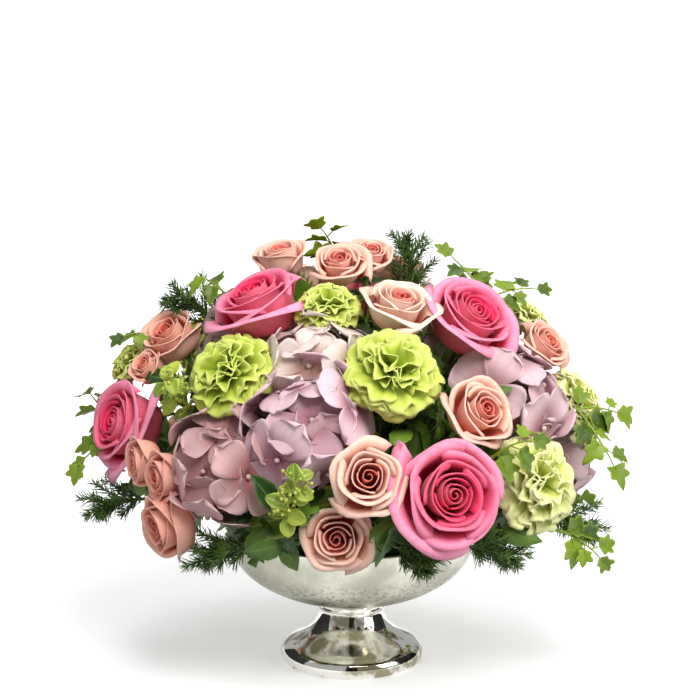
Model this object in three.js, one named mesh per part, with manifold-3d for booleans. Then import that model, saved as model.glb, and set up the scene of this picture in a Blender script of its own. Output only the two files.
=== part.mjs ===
// A low, round table centrepiece: pink roses, blush spray roses, green carnations, pink hydrangea and
// mixed greenery, held by a domed block of floral foam in a silvered glass pedestal bowl.
// Millimetres, +Z up, origin at the middle of the foot's flat underside, the viewer's side is -Y.
import * as THREE from "three";
import { ConvexHull } from "three/addons/math/ConvexHull.js";
import { mergeVertices } from "three/addons/utils/BufferGeometryUtils.js";
import Module from "manifold-3d";

const wasm = await Module();
wasm.setup();

// Driving dimensions
const FOOT_RADIUS = 50.2;
const NECK_RADIUS = 22.3;
const NECK_HEIGHT = 36.5; // of the waist, under the ring
const COLLAR_HEIGHT = 40.5; // where the collar rises from the ring
const CUP_HEIGHT = 47; // where the cup springs from the collar
const RIM_RADIUS = 88.5;
const RIM_HEIGHT = 100;
const FLOOR_HEIGHT = 46; // of the bowl's inside
const WALL = 3.5; // at the rim
const LIP = 0.8; // how far the rim rounds over
const FOAM_TOP = 136;
const BOWL_SIDES = 28;
const FOAM_SIDES = 14; // every second one of the bowl's, so that the two never cross
const CLEARANCE = 0.4; // between pieces that lie against each other
const STEM_ROOM = 0.6; // round a stem in its hole
const SPRIG_ROOM = 0.6; // round a sprig
const PASSAGE_RADIUS = 2.2; // of the hole for a sprig's stem
const DOME_CENTRE = new THREE.Vector3(0, 0, 112); // the flower heads face away from here
const STEM_ROOT = new THREE.Vector3(0, 0, 66); // the stems aim at this point in the foam
const NECK_LENGTH = 14; // the last straight piece of a stem, under its head
const KNOT_RADIUS = 18; // of the flat knot in which the stems meet, at its poles
const KNOT_SPREAD = 1.4; // how much wider than high it is
const SPRIG_START = 46; // from the stem root to the cut end of a sprig of greenery
const SPRIG_BEND = 104; // from the dome's centre to where a sprig turns outwards, past the rim
const STRAIGHT_REACH = 176; // a sprig runs straight out this far, between the heads
const LEAST_CLIMB = 6; // the lowest elevation at which a sprig passes over the rim
const IVY_LEAF = 23; // longest leaf
const ROUND_LEAF = 15; // across
const NEEDLE = 26; // longest needle
const BROAD_LEAF = 42; // of the leaves low on each sprig, which fill the gaps between the heads

// Where each flower head stands: [azimuth from the viewer's side towards +X, elevation] in degrees as seen
// from the dome's centre, the reach from there to the middle of its face, and its radius. The heads of one
// entry share a stem and touch, so they are one body.
const ROSES = [
  [[-63, 65, 181, 34]],
  [[-84, 22, 184, 34]],
  [[64, 58, 182, 34]],
  [[24, 17, 178, 38]],
  [[131, 22, 176, 35]],
  [[-146, 22, 176, 36]],
  [[178, 50, 180, 35]],
];
const SPRAY_ROSES = [
  [[-91, 44, 184, 22], [-85, 36, 181, 13]],
  [[29, 67, 180, 26]],
  [[-43, 86, 184, 20], [120, 85, 186, 17]],
  [[-118, 72, 189, 20]],
  [[37, 34, 181, 26]],
  [[4, 22, 175, 26]],
  [[-4, 7, 148, 24]],
  [[94, 40, 186, 21]],
  [[-66, 18, 170, 18], [-55, 17, 167, 18], [-54, 5, 163, 24]],
  [[146, 69, 180, 21]],
  [[-152, 59, 180, 21], [-131, 63, 178, 17]],
  [[144, 3, 160, 20], [156, 5, 160, 20], [168, 3, 160, 20]],
  [[-113, 12, 166, 21], [-124, 8, 164, 21]],
];
const CARNATIONS = [
  [[-46, 45, 181, 33]],
  [[15, 49, 180, 35]],
  [[-18, 71, 176, 24]],
  [[55, 15, 180, 36]],
  [[92, 24, 190, 30]],
  [[112, 42, 194, 22]],
  [[-97, 32, 196, 20]],
  [[158, 28, 176, 34]],
  [[-124, 41, 178, 32]],
];
const HYDRANGEAS = [
  [[-42, 23, 160, 40]],
  [[-15, 37, 162, 42]],
  [[71, 37, 165, 42]],
  [[-22, 59, 158, 37]],
  [[-172, 20, 162, 46]],
  [[101, 12, 162, 42]],
  [[134, 47, 164, 43]],
  [[-112, 57, 160, 38]],
];
// Sprigs of greenery: [azimuth, elevation] at which the stem passes between the heads, then
// [azimuth, elevation, reach] of each tip that it forks to.
const IVY_SPRIGS = [
  [[-105, 41], [-91, 38, 198]],
  [[-101, 14], [-97, 22, 200], [-84, 11, 192]],
  [[-92, 60], [-84, 59, 190]],
  [[-168, 75], [-140, 81, 194]],
  [[87, 58], [88, 68, 190], [94, 51, 198]],
  [[80, 26], [86, 21, 197], [74, 14, 190]],
  [[62, 1], [65, -4, 184]],
  [[38, 24], [42, 25, 188]],
  [[-154, 1], [-162, -4, 180], [-142, -2, 182]],
  [[122, 1], [114, -4, 182], [132, -3, 182]],
];
const FERN_FRONDS = [
  [[-98, 53], [-94, 49, 194]],
  [[112, 74], [117, 77, 190]],
  [[-84, 3], [-78, 2, 182]],
  [[13, 2], [23, -4, 133]],
  [[38, 0], [50, -5, 147]],
  [[72, 2], [80, -5, 171]],
  [[-30, 1], [-49, -6, 141]],
  [[-172, 0], [-178, -5, 163]],
];
const BUPLEURUMS = [
  [[-17, 13], [-12, 21, 176]],
  [[-66, 35], [-54, 37, 185]],
];

const LOOKS = {
  glass: { color: 0xc9c7bd, roughness: 0.12, metalness: 0.95 },
  foam: { color: 0x2f4a2a, roughness: 1.0, metalness: 0.0 },
  stem: { color: 0x5f7d3a, roughness: 0.7, metalness: 0.0 },
  rose: { color: 0xe8588f, roughness: 0.6, metalness: 0.0 },
  sprayRose: { color: 0xf3b6a4, roughness: 0.6, metalness: 0.0 },
  carnation: { color: 0xc3d65c, roughness: 0.7, metalness: 0.0 },
  hydrangea: { color: 0xe2bccb, roughness: 0.65, metalness: 0.0 },
  ivy: { color: 0x4f7a1c, roughness: 0.55, metalness: 0.0 },
  fern: { color: 0x24491d, roughness: 0.7, metalness: 0.0 },
  bupleurum: { color: 0x93ac2c, roughness: 0.6, metalness: 0.0 },
};

const GOLDEN_ANGLE = 137.508;
const radians = THREE.MathUtils.degToRad;
const lerp = THREE.MathUtils.lerp;

// Solids

function solid(geometry) {
  const bare = geometry.clone();
  bare.deleteAttribute("normal");
  bare.deleteAttribute("uv");
  const merged = mergeVertices(bare, 1e-4);
  const vertProperties = new Float32Array(merged.attributes.position.array);
  const triVerts = new Uint32Array(merged.index.array);
  return new wasm.Manifold(new wasm.Mesh({ numProp: 3, vertProperties, triVerts }));
}

function geometryOf(made) {
  const mesh = made.getMesh();
  const geometry = new THREE.BufferGeometry();
  geometry.setAttribute("position", new THREE.BufferAttribute(mesh.vertProperties, 3));
  geometry.setIndex(new THREE.BufferAttribute(mesh.triVerts, 1));
  geometry.computeVertexNormals();
  return geometry;
}

// The largest body of a solid: what a cut leaves loose beside it is dropped.
function largestBody(made) {
  return made.decompose().reduce((best, body) => (body.volume() > best.volume() ? body : best));
}

// A closed skin over rings of points, with a pole below the first ring and one above the last.
function ringSolid(firstPole, rings, lastPole) {
  const sides = rings[0].length;
  const points = [firstPole, ...rings.flat(), lastPole];
  const at = (ring, side) => 1 + ring * sides + (side % sides);
  const faces = [];
  for (let side = 0; side < sides; side++) {
    faces.push(0, at(0, side + 1), at(0, side));
    for (let ring = 0; ring + 1 < rings.length; ring++) {
      faces.push(at(ring, side), at(ring, side + 1), at(ring + 1, side + 1));
      faces.push(at(ring, side), at(ring + 1, side + 1), at(ring + 1, side));
    }
    faces.push(at(rings.length - 1, side), at(rings.length - 1, side + 1), points.length - 1);
  }
  const geometry = new THREE.BufferGeometry().setFromPoints(points);
  geometry.setIndex(faces);
  return geometry;
}

// A closed skin round the origin through the end of each ray, stretched by a size in X, Y and Z.
function starSolid(rays, size) {
  const ends = new Map(rays.map(({ towards, reach }) => [towards, towards.clone().multiplyScalar(reach)]));
  const corners = new ConvexHull().setFromPoints([...ends.keys()]).faces.flatMap(({ edge }) =>
    [edge.prev, edge, edge.next].map((side) => ends.get(side.head().point).clone().multiply(size)),
  );
  return new THREE.BufferGeometry().setFromPoints(corners);
}

// A rod along points, with a radius at each and flat ends.
function rod(points, radii, sides) {
  const last = points.length - 1;
  let across = new THREE.Vector3(0.31, 0.59, 0.75);
  const rings = points.map((point, i) => {
    const along = points[Math.min(i + 1, last)].clone().sub(points[Math.max(i - 1, 0)]).normalize();
    across = across.clone().addScaledVector(along, -across.dot(along)).normalize();
    const beside = new THREE.Vector3().crossVectors(along, across);
    return Array.from({ length: sides }, (_, side) => {
      const angle = (2 * Math.PI * side) / sides;
      const spoke = across.clone().multiplyScalar(Math.cos(angle)).addScaledVector(beside, Math.sin(angle));
      return point.clone().addScaledVector(spoke, radii[i]);
    });
  });
  return solid(ringSolid(points[0], rings, points[last]));
}

// Places and directions

function direction(azimuth, elevation) {
  const level = Math.cos(radians(elevation));
  return new THREE.Vector3(
    Math.sin(radians(azimuth)) * level,
    -Math.cos(radians(azimuth)) * level,
    Math.sin(radians(elevation)),
  );
}

function domePoint(azimuth, elevation, reach) {
  return DOME_CENTRE.clone().addScaledVector(direction(azimuth, elevation), reach);
}

// A frame at a place whose Z runs along an axis and whose Y leans towards a guide.
function frameAt(place, axis, guide) {
  const z = axis.clone().normalize();
  const x = guide.clone().cross(z).normalize();
  const y = new THREE.Vector3().crossVectors(z, x);
  return new THREE.Matrix4().makeBasis(x, y, z).setPosition(place);
}

function headFrame({ azimuth, elevation, reach, height }, spin) {
  const axis = direction(azimuth, elevation);
  const guide = new THREE.Vector3(Math.cos(spin), Math.sin(spin), 0.4);
  return frameAt(domePoint(azimuth, elevation, reach - height), axis, guide);
}

// Bowl and foam

function lathe(profile, sides) {
  const points = profile.map(([r, z]) => new THREE.Vector2(r, z));
  return new THREE.LatheGeometry(points, sides).rotateX(Math.PI / 2);
}

// A rolled foot that sweeps up into a waist, a ring, a flared collar and a full round cup with its rim.
function bowl() {
  const foot = [
    [0, 0],
    [FOOT_RADIUS - 2, 0],
    [FOOT_RADIUS, 3],
    [FOOT_RADIUS - 0.3, 8],
    [FOOT_RADIUS - 6, 14],
    [NECK_RADIUS + 9.2, 21.5],
    [NECK_RADIUS + 2.7, 29.5],
    [NECK_RADIUS, NECK_HEIGHT],
    [NECK_RADIUS + 1.6, NECK_HEIGHT + 2],
    [NECK_RADIUS, COLLAR_HEIGHT],
    [NECK_RADIUS + 2.2, COLLAR_HEIGHT + 3],
  ];
  const cup = [
    [0.34, 0],
    [0.55, 0.09],
    [0.716, 0.222],
    [0.864, 0.414],
    [0.945, 0.59],
    [0.985, 0.8],
    [1.0, 1.0],
  ].map(([r, z]) => [RIM_RADIUS * r, lerp(CUP_HEIGHT, RIM_HEIGHT - LIP, z)]);
  const rim = [RIM_RADIUS - WALL / 2, RIM_HEIGHT];
  return lathe([...foot, ...cup, rim, ...insideProfile(0).reverse()], BOWL_SIDES);
}

// The inside of the bowl from its middle up to the rim, moved inwards by a gap.
function insideProfile(gap) {
  return [
    [0, FLOOR_HEIGHT],
    [0.6 * RIM_RADIUS, 57],
    [0.85 * RIM_RADIUS, 73],
    [RIM_RADIUS - WALL, RIM_HEIGHT - LIP],
  ].map(([r, z]) => [Math.max(r - gap, 0), z + gap]);
}

function foam(holes) {
  const shoulder = RIM_RADIUS - WALL - 3;
  const profile = [
    ...insideProfile(CLEARANCE).slice(0, -1),
    [shoulder, RIM_HEIGHT],
    [shoulder * 0.7, FOAM_TOP - 8],
    [0, FOAM_TOP],
  ];
  return largestBody(solid(lathe(profile, FOAM_SIDES)).subtract(holes));
}

// Flower heads, each in a frame of its own: the base at the origin, the face towards +Z

// One ring of a head. Its radius r and height z are shares of the head's; its petals reach that far, and
// where they meet it is lower and further in by the notch. A shift turns it by whole sides.
function petalRing(head, { r, z, petals = 0, notch = 0, drop = notch, shift = 0 }) {
  return Array.from({ length: head.sides }, (_, side) => {
    const angle = (2 * Math.PI * side) / head.sides;
    const turned = (2 * Math.PI * (side - shift)) / head.sides;
    const gap = petals ? 1 - Math.abs(Math.cos((petals * turned) / 2)) : 0;
    const radius = head.radius * r * (1 - notch * gap);
    return new THREE.Vector3(
      radius * Math.cos(angle),
      radius * Math.sin(angle),
      head.height * (z - drop * gap),
    );
  });
}

function ringedHead(head, rings, top) {
  const skin = rings.map((ring) => petalRing(head, ring));
  return ringSolid(new THREE.Vector3(), skin, new THREE.Vector3(0, 0, head.height * top));
}

// Layers of petals like cups inside each other, each with its lip and then the valley inside it.
function roseHead(radius, height) {
  const rings = [
    { r: 0.5, z: 0.08 },
    { r: 1.0, z: 0.58, petals: 5, notch: 0.24, drop: 0.24 },
    { r: 0.72, z: 0.5 },
    { r: 0.8, z: 0.87, petals: 5, notch: 0.2, drop: 0.16, shift: 1.5 },
    { r: 0.52, z: 0.68 },
    { r: 0.54, z: 1.0, petals: 3, notch: 0.12, drop: 0.1 },
    { r: 0.34, z: 0.78 },
    { r: 0.28, z: 1.0, petals: 3, notch: 0.12, drop: 0.06, shift: 2.5 },
  ];
  return ringedHead({ radius, height, sides: 15 }, rings, 0.84);
}

function sprayRoseHead(radius, height) {
  const rings = [
    { r: 0.5, z: 0.1 },
    { r: 1.0, z: 0.64, petals: 5, notch: 0.14, drop: 0.12 },
    { r: 0.66, z: 0.58 },
    { r: 0.62, z: 1.0, petals: 5, notch: 0.14, drop: 0.1, shift: 1 },
    { r: 0.34, z: 0.72 },
  ];
  return ringedHead({ radius, height, sides: 10 }, rings, 0.98);
}

// A dense ball of ruffled petals, whose lips zigzag, each layer turned against the last.
function carnationHead(radius, height) {
  const rings = [
    { r: 0.5, z: 0.1 },
    { r: 1.0, z: 0.44, petals: 6, notch: 0.14, drop: 0.14 },
    { r: 0.8, z: 0.46 },
    { r: 0.92, z: 0.78, petals: 6, notch: 0.16, drop: 0.14, shift: 1 },
    { r: 0.64, z: 0.66 },
    { r: 0.68, z: 0.97, petals: 6, notch: 0.18, drop: 0.12 },
    { r: 0.4, z: 0.8 },
    { r: 0.38, z: 1.0, petals: 6, notch: 0.22, drop: 0.08, shift: 1 },
  ];
  return ringedHead({ radius, height, sides: 12 }, rings, 0.9);
}

// The rays of one four-petalled floret, seen from the middle of its head: its low centre, two high
// points at the end of each petal, and a low point between one petal and the next.
function floretRays(axis, spin) {
  const frame = frameAt(new THREE.Vector3(), axis, new THREE.Vector3(0.6, 0.8, 0.1));
  const ray = (tilt, turn, reach) => {
    const aside = new THREE.Vector3(Math.cos(turn), Math.sin(turn), 0);
    const local = aside.multiplyScalar(Math.sin(tilt)).setZ(Math.cos(tilt));
    return { towards: local.applyMatrix4(frame), reach };
  };
  const rays = [ray(0, 0, 0.86)];
  for (let petal = 0; petal < 4; petal++) {
    const middle = spin + (petal * Math.PI) / 2;
    rays.push(ray(0.5, middle - 0.36, 1.0));
    rays.push(ray(0.5, middle + 0.36, 1.0));
    rays.push(ray(0.4, middle + Math.PI / 4, 0.74));
  }
  return rays;
}

// Florets all over a round head, from its top by the golden angle down to its underside.
function hydrangeaHead(radius, height) {
  const florets = 6;
  const rays = [{ towards: new THREE.Vector3(0, 0, -1), reach: 0.78 }];
  for (let i = 0; i < florets; i++) {
    const tilt = Math.acos(lerp(0.99, -0.2, (i + 0.1) / florets));
    const axis = direction(i * GOLDEN_ANGLE, 90 - THREE.MathUtils.radToDeg(tilt));
    rays.push(...floretRays(axis, i * 0.9));
  }
  const size = new THREE.Vector3(radius, radius, height * 0.56);
  return starSolid(rays, size).translate(0, 0, height * 0.44);
}

// What a head takes up, in a few faces: hydrangea heads are fuller below than the others.
function headEnvelope(radius, height, fullness) {
  const rings = [
    { r: 0.45, z: -0.01 },
    { r: fullness, z: 0.2 },
    { r: 1.06, z: 0.44 },
    { r: 1.06, z: 0.66 },
    { r: 0.82, z: 1.0 },
  ];
  return ringedHead({ radius: radius + CLEARANCE, height, sides: 10 }, rings, 1.08);
}

// Leaves

function polar(radius, angle) {
  return [radius * Math.cos(angle), radius * Math.sin(angle)];
}

// A blade that is thickest at its middle: a fan from the outline to a point over the middle and one to a
// point under it. A rule of x and y lifts the outline.
function lens(outline, [midX, midY], over, under, rise) {
  const ring = outline.map(([x, y]) => new THREE.Vector3(x, y, rise(x, y)));
  return ringSolid(new THREE.Vector3(midX, midY, under), [ring], new THREE.Vector3(midX, midY, over));
}

// A lobed, toothed leaf along +Y from its stalk at the origin, arched and folded a little at its rib.
function ivyLeaf(grow) {
  const size = IVY_LEAF + 2 * grow;
  const half = [
    [0.34, 0.12],
    [0.24, 0.3],
    [0.52, 0.46],
    [0.24, 0.6],
  ];
  const outline = [[0, -0.02], ...half, [0, 1], ...half.map(([x, y]) => [-x, y]).reverse()];
  const grown = outline.map(([x, y]) => [x * size, y * size]);
  const rise = (x, y) => 0.25 * Math.abs(x) - (0.25 * y * y) / size;
  return lens(grown, [0, 0.4 * size], 0.3 + grow, -1.3 - grow, rise);
}

function roundLeaf(grow) {
  const size = ROUND_LEAF + 2 * grow;
  const corners = 7;
  const outline = Array.from({ length: corners }, (_, i) => {
    const [x, y] = polar(size / 2, (2 * Math.PI * i) / corners);
    return [x, y + size * 0.44];
  });
  return lens(outline, [0, size * 0.44], grow, -1.4 - grow, (x, y) => 0.2 * Math.abs(x));
}

// A pointed oval leaf along +Y from its stalk at the origin, folded up a little at its rib.
function broadLeaf(grow) {
  const size = BROAD_LEAF + 2 * grow;
  const half = [
    [0.27, 0.3],
    [0.24, 0.68],
  ];
  const outline = [[0, 0], ...half, [0, 1], ...half.map(([x, y]) => [-x, y]).reverse()];
  const grown = outline.map(([x, y]) => [x * size, y * size]);
  return lens(grown, [0, 0.45 * size], 0.4 + grow, -1.2 - grow, (x) => 0.15 * Math.abs(x));
}

// Two broad leaves low on a sprig, to its left and right. They face outwards and lean a little that way.
// Sprigs on top of the dome have none.
function lowLeaves(elevation, over, fork, grow) {
  if (elevation > 45) {
    return [];
  }
  const place = over.clone().lerp(fork, 0.3);
  const outwards = place.clone().sub(DOME_CENTRE).normalize();
  const level = new THREE.Vector3().crossVectors(outwards, new THREE.Vector3(0, 0, 1)).normalize();
  return [1, -1].map((side) => {
    const aside = level.clone().multiplyScalar(side).addScaledVector(outwards, 0.3);
    const rib = aside.applyAxisAngle(outwards, 0.35);
    return solid(broadLeaf(grow).applyMatrix4(frameAt(place, outwards, rib)));
  });
}

// The way of a sprig: out of the foam, over the rim and straight on between the heads to where it forks.
function sprigWay([[azimuth, elevation], ...tips]) {
  const over = domePoint(azimuth, Math.max(elevation, LEAST_CLIMB), SPRIG_BEND);
  const start = STEM_ROOT.clone().lerp(over, SPRIG_START / over.distanceTo(STEM_ROOT));
  const furthest = Math.max(...tips.map((tip) => tip[2]));
  return [start, over, domePoint(azimuth, elevation, Math.min(STRAIGHT_REACH, furthest - 22))];
}

// A whole sprig: its stem, and an arm to each tip, dressed with leaves or needles by a rule that is given
// the arm's way. A sprig with one tip is dressed along its last straight piece too.
function sprig([passing, ...tips], radius, dress) {
  const way = sprigWay([passing, ...tips]);
  const [over, fork] = way.slice(-2);
  const ends = tips.map((tip) => domePoint(...tip));
  if (ends.length === 1) {
    const radii = [1, 1, 0.9, 0.6].map((share) => share * radius);
    return wasm.Manifold.union([rod([...way, ends[0]], radii, 3), ...dress([over, fork, ends[0]])]);
  }
  const arms = ends.flatMap((end) => [
    rod([fork, end], [0.8 * radius, 0.6 * radius], 3),
    ...dress([fork, end]),
  ]);
  return wasm.Manifold.union([rod(way, [radius, radius, radius], 3), ...arms]);
}

// A whole sprig with its low leaves, which leave room for the stems of the other sprigs.
function leafySprig(row, radius, grow, others, dress) {
  const [, over, fork] = sprigWay(row);
  const low = lowLeaves(row[0][1], over, fork, grow).map((leaf) => leaf.subtract(others));
  return wasm.Manifold.union([sprig(row, radius + grow, dress), ...low]);
}

function pathAlong(points) {
  const path = new THREE.CurvePath();
  for (let i = 0; i + 1 < points.length; i++) {
    path.add(new THREE.LineCurve3(points[i], points[i + 1]));
  }
  return path;
}

// A leaf at a share of a path, turned aside from the stem by an angle, its face away from the dome with a
// tilt round the stem.
function leafOnPath(leaf, path, share, turn, tilt) {
  const place = path.getPoint(share);
  const along = path.getTangent(share);
  const outwards = place.clone().sub(DOME_CENTRE).normalize();
  const level = new THREE.Vector3().crossVectors(along, new THREE.Vector3(0, 0, 1)).normalize();
  const face = outwards.addScaledVector(along, -0.8 * outwards.dot(along));
  face.addScaledVector(level, tilt).add(new THREE.Vector3(0, 0, 0.6)).normalize();
  const rib = along.clone().addScaledVector(face, -along.dot(face)).normalize().applyAxisAngle(face, turn);
  return solid(leaf.clone().applyMatrix4(frameAt(place, face, rib)));
}

// Leaves a step apart along the outer end of a path, to one side and the other, and one at its tip.
function leaves(leaf, points, count, step, tilt) {
  const path = pathAlong(points);
  return Array.from({ length: count }, (_, i) => {
    const share = 0.985 - (i * step) / path.getLength();
    const turn = i === 0 ? 0.1 : (i % 2 ? 1.2 : -1.2);
    return leafOnPath(leaf, path, share, turn, tilt * Math.cos(2.2 * i));
  });
}

function ivySprig(row, grow, others) {
  const count = row.length > 2 ? 3 : 4;
  const dress = (points) => leaves(ivyLeaf(grow), points, count, 12, 0.5);
  return leafySprig(row, 1.3, grow, others, dress);
}

function bupleurumSprig(row, grow, others) {
  const dress = (points) => leaves(roundLeaf(grow), points, 5, 9, 0.8);
  return leafySprig(row, 1.2, grow, others, dress);
}

// A three-sided needle, widest at a quarter of its length.
function spike(place, heading, length, radius) {
  const ring = [0, 1, 2].map((i) => {
    const [x, y] = polar(radius, (2 * Math.PI * i) / 3);
    return new THREE.Vector3(x, y, length / 4);
  });
  const needle = ringSolid(new THREE.Vector3(), [ring], new THREE.Vector3(0, 0, length));
  return solid(needle.applyMatrix4(frameAt(place, heading, new THREE.Vector3(0.3, 0.5, 0.8))));
}

// Needles all round a slim core.
function fernFrond(row, grow, others) {
  return leafySprig(row, 1.4, grow, others, (points) => {
    const needles = 9;
    const path = pathAlong(points);
    return Array.from({ length: needles }, (_, i) => {
      const share = 0.985 - (i * 5.5) / path.getLength();
      const along = path.getTangent(share);
      const aside = new THREE.Vector3(0, 0, 1).cross(along).normalize();
      aside.applyAxisAngle(along, radians(i * GOLDEN_ANGLE));
      const heading = along.clone().multiplyScalar(0.75).add(aside).normalize();
      return spike(path.getPoint(share), heading, NEEDLE + grow, 1.1 + grow);
    });
  });
}

// Flower stems

// The stems of one entry: one from the stem root to where it forks, and from there one to each head's
// base. A stop keeps them short of the heads.
function stemRods(heads, { stem, calyx, sides }, grow, stop) {
  const at = (head, back) => domePoint(head.azimuth, head.elevation, head.reach - head.height - back);
  const fork = new THREE.Vector3();
  for (const head of heads) {
    fork.addScaledVector(at(head, NECK_LENGTH * heads.length), 1 / heads.length);
  }
  const [slim, wide] = [stem + grow, calyx + grow];
  if (heads.length === 1) {
    return [rod([STEM_ROOT, fork, at(heads[0], stop)], [slim, slim, wide], sides)];
  }
  const arms = heads.map((head) => rod([fork, at(head, stop)], [slim, wide], sides));
  return [rod([STEM_ROOT, fork], [slim, slim], sides), ...arms];
}

// The whole piece

// Each kind of flower: how tall a head is against its radius, the radii of its stem and of the stem's end
// under the head, the stem's sides, how full the head is low down, and whether sprigs pass through it.
const KINDS = [
  {
    name: "rose",
    entries: ROSES,
    make: roseHead,
    tall: 1.06,
    stem: 2.4,
    calyx: 5,
    sides: 3,
    fullness: 0.8,
    look: LOOKS.rose,
  },
  {
    name: "spray_rose",
    entries: SPRAY_ROSES,
    make: sprayRoseHead,
    tall: 1.12,
    stem: 1.4,
    calyx: 3,
    sides: 3,
    fullness: 0.8,
    look: LOOKS.sprayRose,
  },
  {
    name: "carnation",
    entries: CARNATIONS,
    make: carnationHead,
    tall: 1.1,
    stem: 1.7,
    calyx: 5,
    sides: 3,
    fullness: 0.8,
    look: LOOKS.carnation,
  },
  {
    name: "hydrangea",
    entries: HYDRANGEAS,
    make: hydrangeaHead,
    tall: 0.92,
    stem: 2.6,
    calyx: 4,
    sides: 3,
    fullness: 1.0,
    passages: true,
    look: LOOKS.hydrangea,
  },
];

function headsOf(entry, kind) {
  return entry.map(([azimuth, elevation, reach, radius]) => ({
    azimuth,
    elevation,
    reach,
    radius,
    height: radius * kind.tall,
  }));
}

const centrepiece = new THREE.Group();

function addMesh(name, geometry, look) {
  const mesh = new THREE.Mesh(geometry, new THREE.MeshStandardMaterial(look));
  mesh.name = name;
  centrepiece.add(mesh);
}

const flowers = KINDS.flatMap((kind) =>
  kind.entries.map((entry, i) => ({
    kind,
    name: `${kind.name}_${i + 1}`,
    spin: 1.3 * (i + 1),
    heads: headsOf(entry, kind),
  })),
);

function sprigsOf(name, rows, make, look) {
  return rows.map((row, i) => ({ name: `${name}_${i + 1}`, row, make, look }));
}

const sprigs = [
  ...sprigsOf("ivy", IVY_SPRIGS, ivySprig, LOOKS.ivy),
  ...sprigsOf("bupleurum", BUPLEURUMS, bupleurumSprig, LOOKS.bupleurum),
  ...sprigsOf("fern", FERN_FRONDS, fernFrond, LOOKS.fern),
];

// All stems with the knot they meet in, grown by a margin and stopped short of the heads by a gap.
function allStems(grow, stop) {
  const ball = new THREE.IcosahedronGeometry(KNOT_RADIUS + 1.3 * grow);
  const knot = solid(ball.scale(KNOT_SPREAD, KNOT_SPREAD, 1).translate(...STEM_ROOT.toArray()));
  const rods = flowers.flatMap(({ kind, heads }) => stemRods(heads, kind, grow, stop));
  return wasm.Manifold.union([knot, ...rods]);
}

const stems = allStems(0, CLEARANCE);
const stemRoom = allStems(STEM_ROOM, 0.1);
const passages = sprigs.map(({ row }) => sprig(row, PASSAGE_RADIUS, () => []));
const sprigRoom = wasm.Manifold.union(passages);

addMesh("bowl", bowl(), LOOKS.glass);
addMesh("floral_foam", geometryOf(foam(stemRoom.add(sprigRoom))), LOOKS.foam);
addMesh("flower_stems", geometryOf(stems), LOOKS.stem);

// The heads in a flower's places, each turned by a spin.
function placed({ heads, spin }, make) {
  return wasm.Manifold.union(
    heads.map((head, i) => solid(make(head.radius, head.height).applyMatrix4(headFrame(head, spin + i)))),
  );
}

// Flowers, then sprigs, in order: each leaves room for those before it. Hydrangea heads leave room for the
// stems of all sprigs too, which pass through them.
const nothing = sprigRoom.subtract(sprigRoom);
let taken = stemRoom;
for (const flower of flowers) {
  const { kind, name } = flower;
  const room = kind.passages ? sprigRoom : nothing;
  const head = placed(flower, kind.make).subtract(taken.add(room));
  addMesh(name, geometryOf(largestBody(head)), kind.look);
  const envelope = placed(flower, (radius, height) => headEnvelope(radius, height, kind.fullness));
  taken = taken.add(envelope.subtract(room));
}
sprigs.forEach(({ name, row, make, look }, own) => {
  const others = wasm.Manifold.union(passages.filter((_, i) => i !== own));
  addMesh(name, geometryOf(largestBody(make(row, 0, others).subtract(taken))), look);
  taken = taken.add(make(row, SPRIG_ROOM, others));
});

export default centrepiece;
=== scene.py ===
"""Looks of a low, round table centrepiece: pink roses, blush spray roses, green carnations, pink hydrangea
and mixed greenery, in a silvered glass pedestal bowl.

Metres, +Z up, the viewer's side is -Y. The tables hold degrees and millimetres. Surfaces are worked out as
grids: u runs across a petal or leaf from -1 to 1, and v runs along it from its base at 0 to its lip at 1.
"""
from types import SimpleNamespace

import bpy
import numpy as np
from mathutils import Matrix


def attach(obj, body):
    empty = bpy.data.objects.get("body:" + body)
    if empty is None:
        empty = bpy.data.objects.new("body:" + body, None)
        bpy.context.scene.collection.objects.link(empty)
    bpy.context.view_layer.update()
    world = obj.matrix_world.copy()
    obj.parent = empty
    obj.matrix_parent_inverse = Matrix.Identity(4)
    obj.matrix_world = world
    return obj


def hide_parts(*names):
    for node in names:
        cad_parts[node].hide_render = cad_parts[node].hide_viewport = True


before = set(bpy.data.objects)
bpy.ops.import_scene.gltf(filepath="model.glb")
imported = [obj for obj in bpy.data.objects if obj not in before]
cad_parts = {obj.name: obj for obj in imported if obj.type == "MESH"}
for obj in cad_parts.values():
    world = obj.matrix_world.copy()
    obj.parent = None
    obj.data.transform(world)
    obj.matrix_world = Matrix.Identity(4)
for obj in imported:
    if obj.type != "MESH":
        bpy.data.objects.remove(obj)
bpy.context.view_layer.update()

MM = 0.001
GOLDEN_ANGLE = np.radians(137.508)
UP = np.array([0, 0, 1.0])

# The bowl's driving dimensions, the same as in the frame, in millimetres
FOOT_RADIUS = 50.2
NECK_RADIUS = 22.3
NECK_HEIGHT = 36.5
COLLAR_HEIGHT = 40.5
CUP_HEIGHT = 47
RIM_RADIUS = 88.5
RIM_HEIGHT = 100
LIP = 0.8
FLOOR_HEIGHT = 46
BOWL_SIDES = 112

# Where the arrangement grows from. Lengths times MM are metres, the others are millimetres.
DOME_CENTRE = np.array([0, 0, 112]) * MM
STEM_ROOT = np.array([0, 0, 66]) * MM
NECK_LENGTH = 14 * MM
SPRIG_START = 46 * MM
SPRIG_BEND = 104
STRAIGHT_REACH = 176
LEAST_CLIMB = 6

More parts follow.
